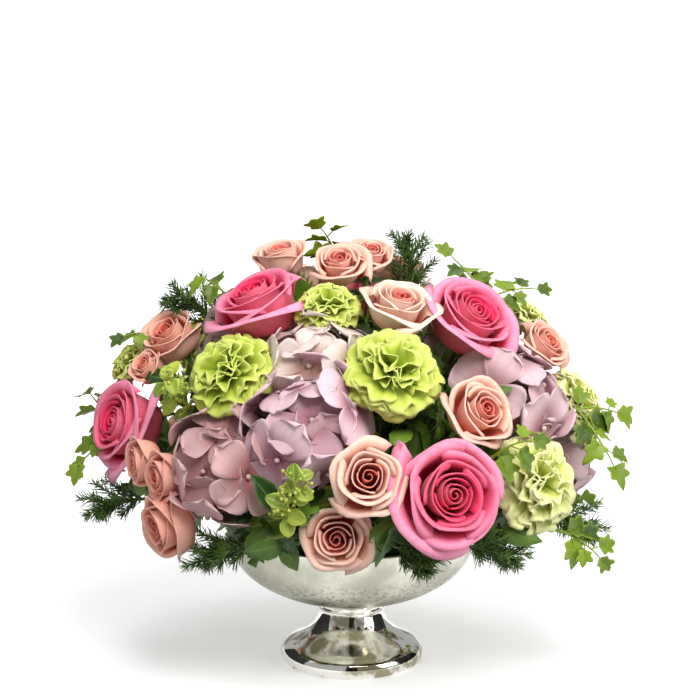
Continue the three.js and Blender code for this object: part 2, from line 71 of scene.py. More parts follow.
# Sizes of petals, leaves and stems
PETAL_THICKNESS = 0.5 * MM
ROSE_PETAL_THICKNESS = 0.6 * MM
LEAF_THICKNESS = 0.5 * MM
FLORET_BEAD = 1.9 * MM
IVY_LEAF = 19 * MM
ROUND_LEAF = 14 * MM
BROAD_LEAF = 42 * MM
SMALL_LEAVES = (20 * MM, 32 * MM)
LOBED_SIDES = 37
STEM_SIDES = 8
SPRIG_RADIUS = 1.2 * MM
SPRIG_SIDES = 6
SPRIG_RISE = 4 * MM
SIDE_SHOOT = 26 * MM
STEM_NEEDLE = 14 * MM
SHOOT_NEEDLE = 11 * MM
LOWEST_LEAF = 103 * MM

# Heads: azimuth from the viewer's side towards +X, elevation, reach of the face from the dome's centre, and
# radius. The heads of one entry share a stem.
ROSES = [
    [(-63, 65, 181, 34)],
    [(-84, 22, 184, 34)],
    [(64, 58, 182, 34)],
    [(24, 17, 178, 38)],
    [(131, 22, 176, 35)],
    [(-146, 22, 176, 36)],
    [(178, 50, 180, 35)],
]
SPRAY_ROSES = [
    [(-91, 44, 184, 22), (-85, 36, 181, 13)],
    [(29, 67, 180, 26)],
    [(-43, 86, 184, 20), (120, 85, 186, 17)],
    [(-118, 72, 189, 20)],
    [(37, 34, 181, 26)],
    [(4, 22, 175, 26)],
    [(-4, 7, 148, 24)],
    [(94, 40, 186, 21)],
    [(-66, 18, 170, 18), (-55, 17, 167, 18), (-54, 5, 163, 24)],
    [(146, 69, 180, 21)],
    [(-152, 59, 180, 21), (-131, 63, 178, 17)],
    [(144, 3, 160, 20), (156, 5, 160, 20), (168, 3, 160, 20)],
    [(-113, 12, 166, 21), (-124, 8, 164, 21)],
]
CARNATIONS = [
    [(-46, 45, 181, 33)],
    [(15, 49, 180, 35)],
    [(-18, 71, 176, 24)],
    [(55, 15, 180, 36)],
    [(92, 24, 190, 30)],
    [(112, 42, 194, 22)],
    [(-97, 32, 196, 20)],
    [(158, 28, 176, 34)],
    [(-124, 41, 178, 32)],
]
HYDRANGEAS = [
    [(-42, 23, 160, 40)],
    [(-15, 37, 162, 42)],
    [(71, 37, 165, 42)],
    [(-22, 59, 158, 37)],
    [(-172, 20, 162, 46)],
    [(101, 12, 162, 42)],
    [(134, 47, 164, 43)],
    [(-112, 57, 160, 38)],
]
# Sprigs: azimuth and elevation at which the stem passes between the heads, then azimuth, elevation and
# reach of each tip.
IVY_SPRIGS = [
    [(-105, 41), (-91, 38, 198)],
    [(-101, 14), (-97, 22, 200), (-84, 11, 192)],
    [(-92, 60), (-84, 59, 190)],
    [(-168, 75), (-140, 81, 194)],
    [(87, 58), (88, 68, 190), (94, 51, 198)],
    [(80, 26), (86, 21, 197), (74, 14, 190)],
    [(62, 1), (65, -4, 184)],
    [(38, 24), (42, 25, 188)],
    [(-154, 1), (-162, -4, 180), (-142, -2, 182)],
    [(122, 1), (114, -4, 182), (132, -3, 182)],
]
FERN_FRONDS = [
    [(-98, 53), (-94, 49, 194)],
    [(112, 74), (117, 77, 190)],
    [(-84, 3), (-78, 2, 182)],
    [(13, 2), (23, -4, 133)],
    [(38, 0), (50, -5, 147)],
    [(72, 2), (80, -5, 171)],
    [(-30, 1), (-49, -6, 141)],
    [(-172, 0), (-178, -5, 163)],
]
BUPLEURUMS = [
    [(-17, 13), (-12, 21, 176)],
    [(-66, 35), (-54, 37, 185)],
]


# Vectors and frames

def unit(vectors):
    """Vectors divided by their lengths."""
    return vectors / np.linalg.norm(vectors, axis=-1, keepdims=True)


def stacked(*arrays):
    """Arrays, broadcast to one shape, side by side on a last axis: points from their coordinates, or frames
    from their axes."""
    return np.stack(np.broadcast_arrays(*arrays), axis=-1)


def direction(azimuth, elevation):
    """Unit vectors: azimuth turns from -Y towards +X, and elevation rises towards +Z, in degrees."""
    az, el = np.radians(azimuth), np.radians(elevation)
    return stacked(np.sin(az) * np.cos(el), -np.cos(az) * np.cos(el), np.sin(el))


def dome_point(azimuth, elevation, reach):
    """The point that lies a reach in millimetres from the dome's centre in a direction."""
    return DOME_CENTRE + direction(azimuth, elevation) * reach * MM


def frames_along(axes, guides):
    """Frames whose columns are X, Y and Z: Z along the axes, and Y leaning towards the guides."""
    z = unit(axes)
    x = unit(np.cross(guides, z))
    return stacked(x, np.cross(z, x), z)


def spokes(frames, angles):
    """Unit vectors across the frames' Z axes, turned by angles from X towards Y."""
    return np.cos(angles)[..., None] * frames[..., 0] + np.sin(angles)[..., None] * frames[..., 1]


def placed(grids, frames, places):
    """Each grid of points turned into its frame and moved to its place."""
    return np.einsum("kab,k...b->k...a", frames, grids) + places.reshape(-1, *[1] * (grids.ndim - 2), 3)


def draw_for(name):
    """A random draw of its own for each piece, the same on every run."""
    return np.random.default_rng(sum(ord(c) * (i + 7) for i, c in enumerate(name)))


# Surfaces: points, faces as arrays with one row a face, and a value a point for each attribute

def shells(top, thickness, **values):
    """Closed thin shells from grids of points (count, rows, columns, 3): the same grid again, moved back
    along its normal by the thickness, and a strip of faces round the rim that joins the two."""
    count, rows, columns = top.shape[:3]
    normal = unit(np.cross(np.gradient(top, axis=2), np.gradient(top, axis=1)))
    back = top - normal * thickness
    index = np.arange(rows * columns).reshape(rows, columns)
    fronts = np.stack([index[:-1, :-1], index[:-1, 1:], index[1:, 1:], index[1:, :-1]], -1).reshape(-1, 4)
    backs = fronts[:, ::-1] + rows * columns
    rim = np.concatenate([index[0, :-1], index[:-1, -1], index[-1, :0:-1], index[:0:-1, 0]])
    ahead = np.roll(rim, -1)
    strip = np.stack([rim, rim + rows * columns, ahead + rows * columns, ahead], -1)
    one = np.concatenate([fronts, backs, strip])
    faces = (one[None] + 2 * rows * columns * np.arange(count)[:, None, None]).reshape(-1, 4)
    points = np.stack([top, back], axis=1).reshape(-1, 3)
    given = {name: np.broadcast_to(value, top.shape[:3]) for name, value in values.items()}
    kept = {name: np.stack([value, value], axis=1).ravel() for name, value in given.items()}
    side = np.stack([np.ones(top.shape[:3]), np.zeros(top.shape[:3])], axis=1).ravel()
    return {"points": points, "faces": [faces], "values": {**kept, "side": side}}


def tubes(paths, radii, sides, **values):
    """Closed tubes: a ring of points round each point of each path (count, steps, 3), and flat ends."""
    count, steps = paths.shape[:2]
    frames = frames_along(np.gradient(paths, axis=1), [0.31, 0.55, 0.77])
    outwards = spokes(frames[:, :, None], np.linspace(0, 2 * np.pi, sides, endpoint=False))
    reach = np.broadcast_to(radii, (count, steps))[..., None, None]
    points = (paths[:, :, None] + outwards * reach).reshape(-1, 3)
    ring = np.arange(steps * sides).reshape(steps, sides)
    ahead = np.roll(ring, -1, axis=1)
    walls = np.stack([ring[:-1], ahead[:-1], ahead[1:], ring[1:]], -1).reshape(-1, 4)
    ends = np.stack([ring[0, ::-1], ring[-1]])
    first = steps * sides * np.arange(count)[:, None, None]
    shares = {"along": np.linspace(0, 1, steps)[None, :, None], "side": 1.0, **values}
    kept = {name: np.broadcast_to(value, (count, steps, sides)).ravel() for name, value in shares.items()}
    faces = [(walls[None] + first).reshape(-1, 4), (ends[None] + first).reshape(-1, sides)]
    return {"points": points, "faces": faces, "values": kept}


def beads(places, radius, **values):
    """Round beads: tubes along Z whose radius follows a half circle, nearly closed at both ends."""
    turn = np.linspace(0.12, np.pi - 0.12, 7)
    paths = places[:, None] - radius * np.cos(turn)[None, :, None] * UP
    return tubes(paths, radius * np.sin(turn)[None], 8, **values)


def merged(surfaces):
    """Several surfaces as one. An attribute that one of them lacks is 0 there."""
    names = sorted({name for surface in surfaces for name in surface["values"]})
    points, faces, first = [], [], 0
    for surface in surfaces:
        faces += [group + first for group in surface["faces"]]
        points.append(surface["points"])
        first += len(surface["points"])
    values = {
        name: np.concatenate([s["values"].get(name, np.zeros(len(s["points"]))) for s in surfaces])
        for name in names
    }
    return {"points": np.concatenate(points), "faces": faces, "values": values}


def add_to_scene(name, data):
    """A new object, linked to the scene."""
    made = bpy.data.objects.new(name, data)
    bpy.context.scene.collection.objects.link(made)
    return made


def make_piece(name, surfaces, material, slot, *nodes):
    """One smooth-shaded object from surfaces, riding on the root, in place of the named CAD nodes."""
    whole = merged(surfaces)
    mesh = bpy.data.meshes.new(name)
    mesh.from_pydata(whole["points"].tolist(), [], [f for group in whole["faces"] for f in group.tolist()])
    mesh.polygons.foreach_set("use_smooth", np.ones(len(mesh.polygons), bool))
    for label, value in whole["values"].items():
        layer = mesh.attributes.new(label, "FLOAT", "POINT")
        layer.data.foreach_set("value", value.astype(np.float32))
    mesh.materials.append(material)
    made = add_to_scene(name, mesh)
    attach(made, "root")
    if nodes:
        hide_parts(*nodes)


# Materials

class Finish:
    """A procedural material, built node by node."""

    def __init__(self, name, roughness, **shader):
        self.material = bpy.data.materials.new(name)
        self.material.use_nodes = True
        self.tree = self.material.node_tree
        self.shader = self.tree.nodes["Principled BSDF"]
        self.take(Roughness=roughness, **shader)

    def fill(self, node, inputs):
        """Sets a node's inputs, from pairs of a socket's name or number and a value, a colour's web code or
        another node's output."""
        for label, value in inputs:
            if isinstance(value, bpy.types.NodeSocket):
                self.tree.links.new(value, node.inputs[label])
            else:
                node.inputs[label].default_value = rgb(value) if isinstance(value, str) else value

    def take(self, **inputs):
        """Sets inputs of the surface itself."""
        self.fill(self.shader, [(label.replace("_", " "), value) for label, value in inputs.items()])

    def node(self, kind, inputs=(), **settings):
        """Adds a node."""
        made = self.tree.nodes.new(kind)
        for label, value in settings.items():
            setattr(made, label, value)
        self.fill(made, inputs)
        return made

    def attribute(self, name):
        """The value that the surface carries under a name."""
        return self.node("ShaderNodeAttribute", attribute_name=name).outputs["Fac"]

    def object_place(self):
        """The place of a point of the piece, in metres from the origin."""
        return self.node("ShaderNodeTexCoord").outputs["Object"]

    def noise(self, scale, detail=3.0, vector=None):
        """Soft noise round one half, over the piece's places or over a given vector."""
        inputs = [("Vector", vector or self.object_place()), ("Scale", scale), ("Detail", detail)]
        return self.node("ShaderNodeTexNoise", inputs).outputs["Fac"]

    def maths(self, operation, a, b=0.0, c=0.0):
        """The result of an operation on up to three values."""
        return self.node("ShaderNodeMath", [(0, a), (1, b), (2, c)], operation=operation).outputs[0]

    def shares(self, value, low, high, to_low=0.0, to_high=1.0):
        """A value mapped smoothly from one range to another."""
        inputs = [("Value", value), ("From Min", low), ("From Max", high)]
        inputs += [("To Min", to_low), ("To Max", to_high)]
        return self.node("ShaderNodeMapRange", inputs, interpolation_type="SMOOTHSTEP").outputs[0]

    def mix(self, share, first, second):
        """A colour between two, by a share from the first at 0 to the second at 1."""
        return self.node("ShaderNodeMix", [(0, share), (6, first), (7, second)], data_type="RGBA").outputs[2]

    def ramp(self, value, low, high, first, second, most=1.0):
        """A colour that leaves the first for the second, up to a share, as a value goes from low to high."""
        return self.mix(self.shares(value, low, high, 0.0, most), first, second)

    def bump(self, height, strength, distance):
        """Makes the surface look raised where a value is high."""
        inputs = [("Height", height), ("Strength", strength), ("Distance", distance)]
        self.take(Normal=self.node("ShaderNodeBump", inputs).outputs[0])

    def coloured(self, colour):
        """The finished material, in a base colour."""
        self.take(Base_Color=colour)
        return self.material


def rgb(code):
    """A display colour, written as a web code, as the linear colour that shaders take."""
    shown = np.array([int(code[i:i + 2], 16) for i in (0, 2, 4)]) / 255
    linear = np.where(shown <= 0.04045, shown / 12.92, ((shown + 0.055) / 1.055) ** 2.4)
    return (*linear.tolist(), 1.0)


def petal_veins(finish, across_scale, along_scale, strength, distance):
    """Fine veins that run along a petal, as a bump. Gives their noise back, for the colour."""
    scales = {"across": across_scale, "along": along_scale, "chance": 37.0}
    axes = [finish.maths("MULTIPLY", finish.attribute(name), scale) for name, scale in scales.items()]
    veins = finish.noise(1.0, 2.0, finish.node("ShaderNodeCombineXYZ", enumerate(axes)).outputs[0])
    finish.bump(veins, strength, distance)
    return veins


def rose_finish():
    """Crimson low on the petals' faces, a painted shade down in the cups and at the heart; pink higher on the
    faces, deeper towards the heart; paler at the rolled lips, and dusty pink on the backs."""
    finish = Finish("rose_petal", 0.5, Sheen_Weight=0.15, Sheen_Roughness=0.4, Specular_IOR_Level=0.3)
    veins = petal_veins(finish, 16.0, 1.5, 0.12, 0.0006)
    along, layer, side = map(finish.attribute, ("along", "layer", "side"))
    face = finish.ramp(layer, 0.1, 0.8, "de1248", "f14a78")
    # Painted shade: each face turns crimson towards its base, down in the cup between the petals.
    face = finish.ramp(along, 0.1, 0.66, "c00c3c", face)
    lip = finish.ramp(layer, 0.3, 0.98, "ee2c5e", "fca0bf")
    inside = finish.ramp(along, 0.62, 0.97, face, lip)
    outside = finish.ramp(along, 0.15, 1.0, "dc4a60", "f7869f")
    whole = finish.mix(side, outside, inside)
    return finish.coloured(finish.ramp(veins, 0.4, 0.8, whole, "d42a5c", 0.25))


def spray_rose_finish():
    """Blush or cream, by each head's tone, with a coral heart and pale lips."""
    finish = Finish("spray_rose_petal", 0.5, Sheen_Weight=0.1, Sheen_Roughness=0.4, Specular_IOR_Level=0.3)
    veins = petal_veins(finish, 12.0, 1.2, 0.1, 0.0005)
    along, layer, side, tone = map(finish.attribute, ("along", "layer", "side", "tone"))
    blush = finish.mix(tone, "f8dcc2", "f4a287")
    face = finish.ramp(layer, 0.1, 0.6, "e0523f", blush)
    face = finish.ramp(along, 0.15, 0.75, "cf4634", face)
    pale = finish.mix(tone, "fcecd8", "f8bfaa")
    lip = finish.ramp(layer, 0.05, 0.5, "ec866f", pale)
    inside = finish.ramp(along, 0.66, 1.0, face, lip)
    outside = finish.ramp(along, 0.1, 0.85, "ee9e7c", lip)
    whole = finish.mix(side, outside, inside)
    return finish.coloured(finish.ramp(veins, 0.4, 0.8, whole, "ee8672", 0.2))


def carnation_finish():
    """Lime green, deeper at the petals' bases as a painted shade in the folds, with pale yellow ruffled
    edges.
    """
    finish = Finish("carnation_petal", 0.6, Sheen_Weight=0.05, Sheen_Roughness=0.5, Specular_IOR_Level=0.25)
    veins = petal_veins(finish, 22.0, 1.0, 0.15, 0.0005)
    along, tone = map(finish.attribute, ("along", "tone"))
    deep = finish.mix(tone, "6f8f10", "bccc48")
    body = finish.mix(tone, "bacb32", "f2f3a4")
    edge = finish.mix(tone, "dbe670", "fdfacb")
    vein = finish.mix(tone, "a6bb2a", "e0e47c")
    # Painted shade: the deep green at the petals' bases stands for the shade in the folds.
    whole = finish.ramp(along, 0.2, 0.8, deep, body)
    whole = finish.ramp(along, 0.7, 1.0, whole, edge)
    return finish.coloured(finish.ramp(veins, 0.4, 0.8, whole, vein, 0.2))


def hydrangea_finish():
    """By each head's tone from cream to mauve and by its warmth towards brownish pink, with darker hearts to
    the florets, faint veins and pale edges. Its inner florets are darkened, a painted shade under the outer
    ones."""
    finish = Finish("hydrangea_petal", 0.6, Sheen_Weight=0.1, Sheen_Roughness=0.5, Specular_IOR_Level=0.25)
    veins = petal_veins(finish, 9.0, 3.0, 0.25, 0.0008)
    along, tone, warmth = map(finish.attribute, ("along", "tone", "warmth"))
    across = finish.maths("ABSOLUTE", finish.attribute("across"))
    outer = finish.mix(tone, "ebe0d4", finish.mix(warmth, "e4bcd0", "d0a8a2"))
    centre = finish.mix(tone, "c2a084", finish.mix(warmth, "7c2460", "a06058"))
    body = finish.ramp(along, 0.08, 0.56, centre, outer)
    body = finish.ramp(finish.attribute("chance"), 0.0, 1.0, body, "cba0a8", 0.3)
    rim = finish.maths("MAXIMUM", finish.shares(along, 0.9, 1.0), finish.shares(across, 0.88, 1.0))
    body = finish.mix(finish.maths("MULTIPLY", rim, 0.15), body, "f5e9e6")
    # Painted shade: the inner florets, under the outer ones, are darkened.
    body = finish.mix(finish.maths("MULTIPLY", finish.attribute("inner"), 0.5), body, "a77f7c")
    return finish.coloured(finish.ramp(veins, 0.45, 0.8, body, "bd8b96", 0.3))


def leaf_finish(name, shade, light, margin, margin_share=0.8):
    """Green between a shade and a light, by each leaf's chance, with a paler rib and margin."""
    finish = Finish(name, 0.45, Specular_IOR_Level=0.4)
    across = finish.maths("ABSOLUTE", finish.attribute("across"))
    patches = finish.maths("MULTIPLY_ADD", finish.noise(90.0, 3.0), 0.6, -0.3)
    body = finish.ramp(finish.maths("ADD", finish.attribute("chance"), patches), 0.0, 1.0, shade, light)
    edge = finish.ramp(across, 0.7, 1.0, body, margin, margin_share)
    rib = finish.mix(finish.shares(across, 0.0, 0.12, 0.5, 0.0), edge, margin)
    finish.bump(finish.noise(300.0, 2.0), 0.2, 0.0004)
    return finish.coloured(finish.mix(finish.attribute("side"), light, rib))


def stem_finish():
    """Green stems with a fine grain."""
    finish = Finish("stem_green", 0.55, Specular_IOR_Level=0.35)
    grain = finish.noise(160.0, 3.0)
    finish.bump(grain, 0.2, 0.0004)
    return finish.coloured(finish.ramp(grain, 0.3, 0.7, "3f5f22", "7d9a44"))


def foam_finish():
    """Dark, wet, crumbly foam."""
    finish = Finish("wet_foam", 0.9)
    grain = finish.noise(420.0, 4.0)
    finish.bump(grain, 0.6, 0.001)
    return finish.coloured(finish.mix(grain, "12200f", "31482a"))


def silver_finish():
    """Silvered glass: frosted and mottled on the cup, darker on its left as painted shade, with grey flecks
    in a band below the flowers, and bright on the collar and foot, with brownish patches there that are
    partly tarnish and partly painted dark reflections."""
    finish = Finish("mercury_glass", 0.1, Metallic=1.0)
    aside, _, height = finish.node("ShaderNodeSeparateXYZ", [(0, finish.object_place())]).outputs

    def rising(start, end):
        """A share that goes from 0 to 1 between two heights over the cup's lowest edge, in millimetres."""
        return finish.shares(height, (CUP_HEIGHT + start) * MM, (CUP_HEIGHT + end) * MM)

    frosted = rising(-1.5, 3.5)
    clouds = finish.noise(38.0, 5.0)
    flecks = finish.noise(380.0, 6.0)
    fine = finish.noise(520.0, 3.0)
    band = finish.maths("MULTIPLY", rising(3, 10), rising(37, 21))
    fleck_share = finish.maths("MULTIPLY", finish.shares(flecks, 0.52, 0.6, 0.0, 0.75), band)
    cup = finish.ramp(clouds, 0.35, 0.7, "d2d1c3", "aaaa9b")
    cup = finish.ramp(fine, 0.45, 0.7, cup, "a2a397", 0.25)
    cup = finish.mix(fleck_share, cup, "7f8178")
    # Painted shade: the left side of the cup is darkened.
    cup = finish.ramp(aside, -0.01, -0.075, cup, "8f8f7c", 0.6)
    # The foot's brownish patches are partly tarnish and partly painted dark reflections.
    foot = finish.ramp(finish.noise(60.0, 4.0), 0.5, 0.62, "f2f0ea", "8f8764", 0.85)
    cup_roughness = finish.shares(clouds, 0.3, 0.7, 0.3, 0.46)
    foot_roughness = finish.shares(flecks, 0.4, 0.8, 0.04, 0.12)
    rough = finish.node("ShaderNodeMix", [(0, frosted), (2, foot_roughness), (3, cup_roughness)])
    finish.take(Roughness=rough.outputs[0])
    finish.bump(finish.noise(150.0, 4.0), 0.12, 0.0008)
    return finish.coloured(finish.mix(frosted, foot, cup))


# Petals and florets, each head in a frame of its own: the base at the origin, the face towards +Z

def across_and_along(rows, columns):
    """The grid's two parameters, u from -1 to 1 across and v from 0 to 1 along."""
    return np.linspace(-1, 1, columns)[None, None, :], np.linspace(0, 1, rows)[None, :, None]


def spiral(count, rng):
    """The petals' numbers, their shares of the way out from the heart, and eight draws for each."""
    number = np.arange(count)[:, None, None]
    return number, (number + 0.5) / count, rng.uniform(-1, 1, (8, count, 1, 1))


def petal_shells(points, thickness, u, v, layer, rng):
    """Petals in shells that carry their attributes, with a chance of its own for each."""
    chance = rng.uniform(0, 1, layer.shape)
    return shells(points, thickness, along=v, across=u, layer=layer, chance=chance)


def cup_petals(radius, height, rng, shape):
    """Petals of a rose in a spiral by the golden angle. In the plane through the axis each one follows a
    cubic Bezier curve from its base out and up to its lip, where it leans by an angle; the lip then curls
    outwards along an arc, more at its sides. It wraps round the axis by its half width, its sides are lower
    than its middle, one a little lower than the other, and its lip waves in and out."""
    u, v = across_and_along(shape.rows, shape.columns)
    number, layer, jitter = spiral(shape.count, rng)
    half_width = np.radians(shape.inner_width + (shape.outer_width - shape.inner_width) * layer**0.5)
    lean = np.radians(shape.inner_lean + (shape.lean - shape.inner_lean) * layer**2 + 5 * jitter[6])
    lip_out = radius * (shape.heart + (0.9 - shape.heart) * layer**shape.opening)
    lip_out = lip_out * (1 + 0.05 * jitter[0])
    lip_up = height * (shape.heart_height + 0.05 * np.sin(3 * layer) - shape.droop * layer**3)
    lip_up = lip_up + height * (0.02 * jitter[1] + 0.06 * layer * jitter[5] * u)
    lip_up = lip_up - height * (0.04 + shape.scallop * layer) * u**2
    base_out, base_up = radius * (0.04 + 0.12 * layer), height * 0.06
    stem = 0.5 * (lip_up - base_up)
    t = np.clip(v / 0.82, 0, 1)
    controls = [
        (base_out, base_up),
        (lip_out * (0.7 + 0.35 * layer), base_up + 0.1 * height * (1 - layer)),
        (lip_out - stem * np.sin(lean), lip_up - stem * np.cos(lean)),
        (lip_out, lip_up),
    ]
    weights = [(1 - t) ** 3, 3 * t * (1 - t) ** 2, 3 * t**2 * (1 - t), t**3]
    out, up = (sum(weight * control[i] for weight, control in zip(weights, controls)) for i in (0, 1))
    curl_radius = radius * (0.028 + shape.curl * layer**1.3) * (1 + 0.3 * jitter[7])
    curl = np.clip((v - 0.82) / 0.18, 0, 1) * np.radians(40 + 85 * layer) * (0.6 + 0.8 * u**2)
    out = out + curl_radius * (np.cos(lean) - np.cos(lean + curl))
    up = up + curl_radius * (np.sin(lean + curl) - np.sin(lean))
    point = shape.point * layer * (1 - np.abs(u)) ** 2 * v**3
    wave = 0.03 * np.sin(4.5 * u + 6 * jitter[2]) + shape.wave * np.sin(8 * u + 6 * jitter[4])
    out = out + radius * (point + wave * layer * v**2 + (0.03 + 0.03 * layer) * u * v)
    turn = number * GOLDEN_ANGLE + 0.15 * jitter[3] - u * half_width * (0.5 + 0.5 * np.sqrt(v))
    points = stacked(out * np.cos(turn), out * np.sin(turn), up)
    return petal_shells(points, shape.thickness, u, v, layer, rng)


ROSE_SHAPE = SimpleNamespace(
    count=16, rows=12, columns=17, thickness=ROSE_PETAL_THICKNESS,
    inner_width=140, outer_width=82, inner_lean=-12, lean=42, heart=0.03, heart_height=0.93,
    opening=1.12, droop=0.24, scallop=0.14, curl=0.13, point=0.05, wave=0.02,
)
# Fewer petals than a rose's, with more pointed and waved lips
SPRAY_ROSE_SHAPE = SimpleNamespace(
    count=11, rows=11, columns=15, thickness=PETAL_THICKNESS,
    inner_width=150, outer_width=84, inner_lean=-8, lean=42, heart=0.03, heart_height=0.9,
    opening=1.0, droop=0.28, scallop=0.2, curl=0.12, point=0.08, wave=0.05,
)
# Upright petals whose sides are much lower
half_open = {"lean": 14, "heart_height": 1.0, "opening": 0.95, "droop": 0.22, "scallop": 0.34, "curl": 0.1}
HALF_OPEN_SHAPE = SimpleNamespace(**{**vars(SPRAY_ROSE_SHAPE), **half_open, "point": 0.16})


def carnation_head(radius, height, rng):
    """Ruffled petals in a spiral by the golden angle. Each rises from the base in its own direction, which
    is steeper in the middle of the head, and then bends over outwards, the outer ones more. It opens like a
    fan whose outer half is waved in and out and to and fro, and its lip is softly notched."""
    u, v = across_and_along(8, 17)
    v = 0.08 + 0.92 * v
    number, layer, jitter = spiral(44, rng)
    bent = np.clip((v - 0.3) / 0.7, 0, 1)
    ruffle = np.sin(6.2 * u + 7 * jitter[3]) + 0.6 * np.sin(11 * u + 7 * jitter[4])
    crimp = np.cos(7.6 * u + 7 * jitter[7])
    polar = np.radians(3 + 82 * layer**0.66 + 7 * jitter[0]) * (0.25 + 0.75 * np.clip(v / 0.45, 0, 1))
    polar = polar + (0.05 + 0.34 * layer + 0.14 * jitter[1]) * bent**1.5 + 0.11 * ruffle * bent**1.1
    reach = np.clip(v / 0.9, 0, 1) ** 0.8 * (0.95 + 0.05 * jitter[5]) + 0.035 * crimp * bent**2
    reach = reach - 0.2 * np.abs(u) ** 3 * bent
    half_width = np.radians(30 + 6 * jitter[6]) * (0.25 + 0.75 * np.clip(v / 0.6, 0, 1))
    aside = u * half_width
    x = reach * np.sin(polar) * np.cos(aside)
    y = reach * np.sin(aside)
    z = reach * np.cos(polar) * np.cos(aside)
    turn = number * GOLDEN_ANGLE + 0.3 * jitter[2]
    out_x = radius * (x * np.cos(turn) - y * np.sin(turn))
    out_y = radius * (x * np.sin(turn) + y * np.cos(turn))
    points = stacked(out_x, out_y, height * (0.3 + 0.7 * z))
    return petal_shells(points, PETAL_THICKNESS, u, v, layer, rng)


def floret_petals(size, spins, rng):
    """The four petals of each floret, as grids (florets, 4, rows, columns, 3). Each is broad and round with
    a narrow foot, rises from the centre and bends back, is cupped across and is softly folded."""
    u, v = across_and_along(9, 11)
    v = 0.02 + 0.98 * (1 - (1 - v) ** 1.6)
    count = len(spins)
    jitter = rng.uniform(-1, 1, (6, count * 4, 1, 1))
    width = 0.74 * (0.02 + v**0.75) * np.sqrt(np.clip(1.015 - v**4.5, 0, 1)) * (1 + 0.08 * jitter[0])
    notches = 0.012 * np.sin(12 * u + 5 * jitter[3]) * v**5
    x = u * width
    y = v * (1.0 - 0.06 * u**2 + notches) * (1 + 0.07 * jitter[5])
    z = (0.24 + 0.08 * jitter[1]) * v - (0.44 + 0.12 * jitter[2]) * v**2 + 0.1 * u**2 * v
    z = z + 0.04 * np.sin(3.2 * u + 4 * jitter[4]) * v**2
    grid = stacked(x, y, z) * size
    spin = (spins[:, None] + np.arange(4) * np.pi / 2 + rng.uniform(-0.1, 0.1, (count, 4))).ravel()
    turn = np.zeros((count * 4, 3, 3))
    turn[:, 0, 0] = turn[:, 1, 1] = np.cos(spin)
    turn[:, 1, 0] = np.sin(spin)
    turn[:, 0, 1] = -np.sin(spin)
    turn[:, 2, 2] = 1
    return placed(grid, turn, np.zeros((count * 4, 3))).reshape(count, 4, *grid.shape[1:])


def hydrangea_head(radius, height, rng):
    """Large florets all over a round head, spaced by the golden angle from its top to its underside, over a
    smaller inner layer of florets, whose colour is darkened as painted shade."""
    layers = []
    for reach, count, size, inner in ((0.92, 7, 0.72, 0.0), (0.62, 5, 0.62, 1.0)):
        number = np.arange(count)
        rise = 0.99 - 1.35 * (number + 0.1) / count
        outwards = direction(np.degrees((number + 0.5 * inner) * GOLDEN_ANGLE), np.degrees(np.arcsin(rise)))
        depth = np.where(number % 2, 0.92, 1.0)[:, None] * reach
        places = outwards * np.array([radius, radius, 0.6 * height]) * depth + np.array([0, 0, 0.44 * height])
        facing = unit(outwards + rng.uniform(-0.1, 0.1, (count, 3)))
        petals = floret_petals(size * radius, number * 0.9, rng)
        grids = placed(petals, frames_along(facing, [0.6, 0.8, 0.1]), places)
        u, v = across_and_along(*grids.shape[2:4])
        chance = np.repeat(rng.uniform(0, 1, count), 4)[:, None, None]
        shown = {"along": v, "across": u, "chance": chance, "inner": inner}
        layers.append(shells(grids.reshape(-1, *grids.shape[2:]), PETAL_THICKNESS, **shown))
        layers.append(beads(places + facing * 0.002, FLORET_BEAD, chance=0.2, across=0.0, inner=inner))
    return merged(layers)


# Heads in their places

class Head:
    """One flower head: where its base is, its axis, its radius, and its height, which is its radius times a
    figure of its kind."""

    def __init__(self, azimuth, elevation, reach, radius, tall):
        self.radius = radius * MM
        self.height = radius * tall * MM
        self.axis = direction(azimuth, elevation)
        self.base = dome_point(azimuth, elevation, reach) - self.axis * self.height

    def back(self, distance):
        """A point behind the base, on the axis."""
        return self.base - self.axis * distance

    def depth(self, points):
        """How far in the head points lie: over 1 inside a round body that fills it, under 1 outside."""
        offset = points - self.base
        along = offset @ self.axis
        across = np.linalg.norm(offset - along[..., None] * self.axis, axis=-1)
        spread = (across / self.radius) ** 2 + ((along / self.height - 0.5) / 0.56) ** 2
        return 1 / np.maximum(spread, 1e-6)

    def put(self, surface, spin, nod):
        """The surface in this head's place, its axis leaned by a vector about the head's middle."""
        guide = np.array([np.cos(spin), np.sin(spin), 0.4])
        axis = unit(self.axis + nod)
        base = self.base + (self.axis - axis) * self.height / 2
        return {**surface, "points": surface["points"] @ frames_along(axis, guide).T + base}


def kind_of(entries, tall, stem, finish, *make):
    """A kind of flower: its heads, its stem's radius in millimetres, its finish, and the function that makes
    a head, with that function's last argument if it takes a shape."""
    heads = [[Head(*row, tall) for row in entry] for entry in entries]
    return {"heads": heads, "stem": stem, "finish": finish, "make": make}


KINDS = {
    "rose": kind_of(ROSES, 1.06, 2.4, rose_finish, cup_petals, ROSE_SHAPE),
    "spray_rose": kind_of(SPRAY_ROSES, 1.12, 1.4, spray_rose_finish, cup_petals, SPRAY_ROSE_SHAPE),
    "carnation": kind_of(CARNATIONS, 1.1, 1.7, carnation_finish, carnation_head),
    "hydrangea": kind_of(HYDRANGEAS, 0.92, 2.6, hydrangea_finish, hydrangea_head),
}
ALL_HEADS = [head for kind in KINDS.values() for heads in kind["heads"] for head in heads]
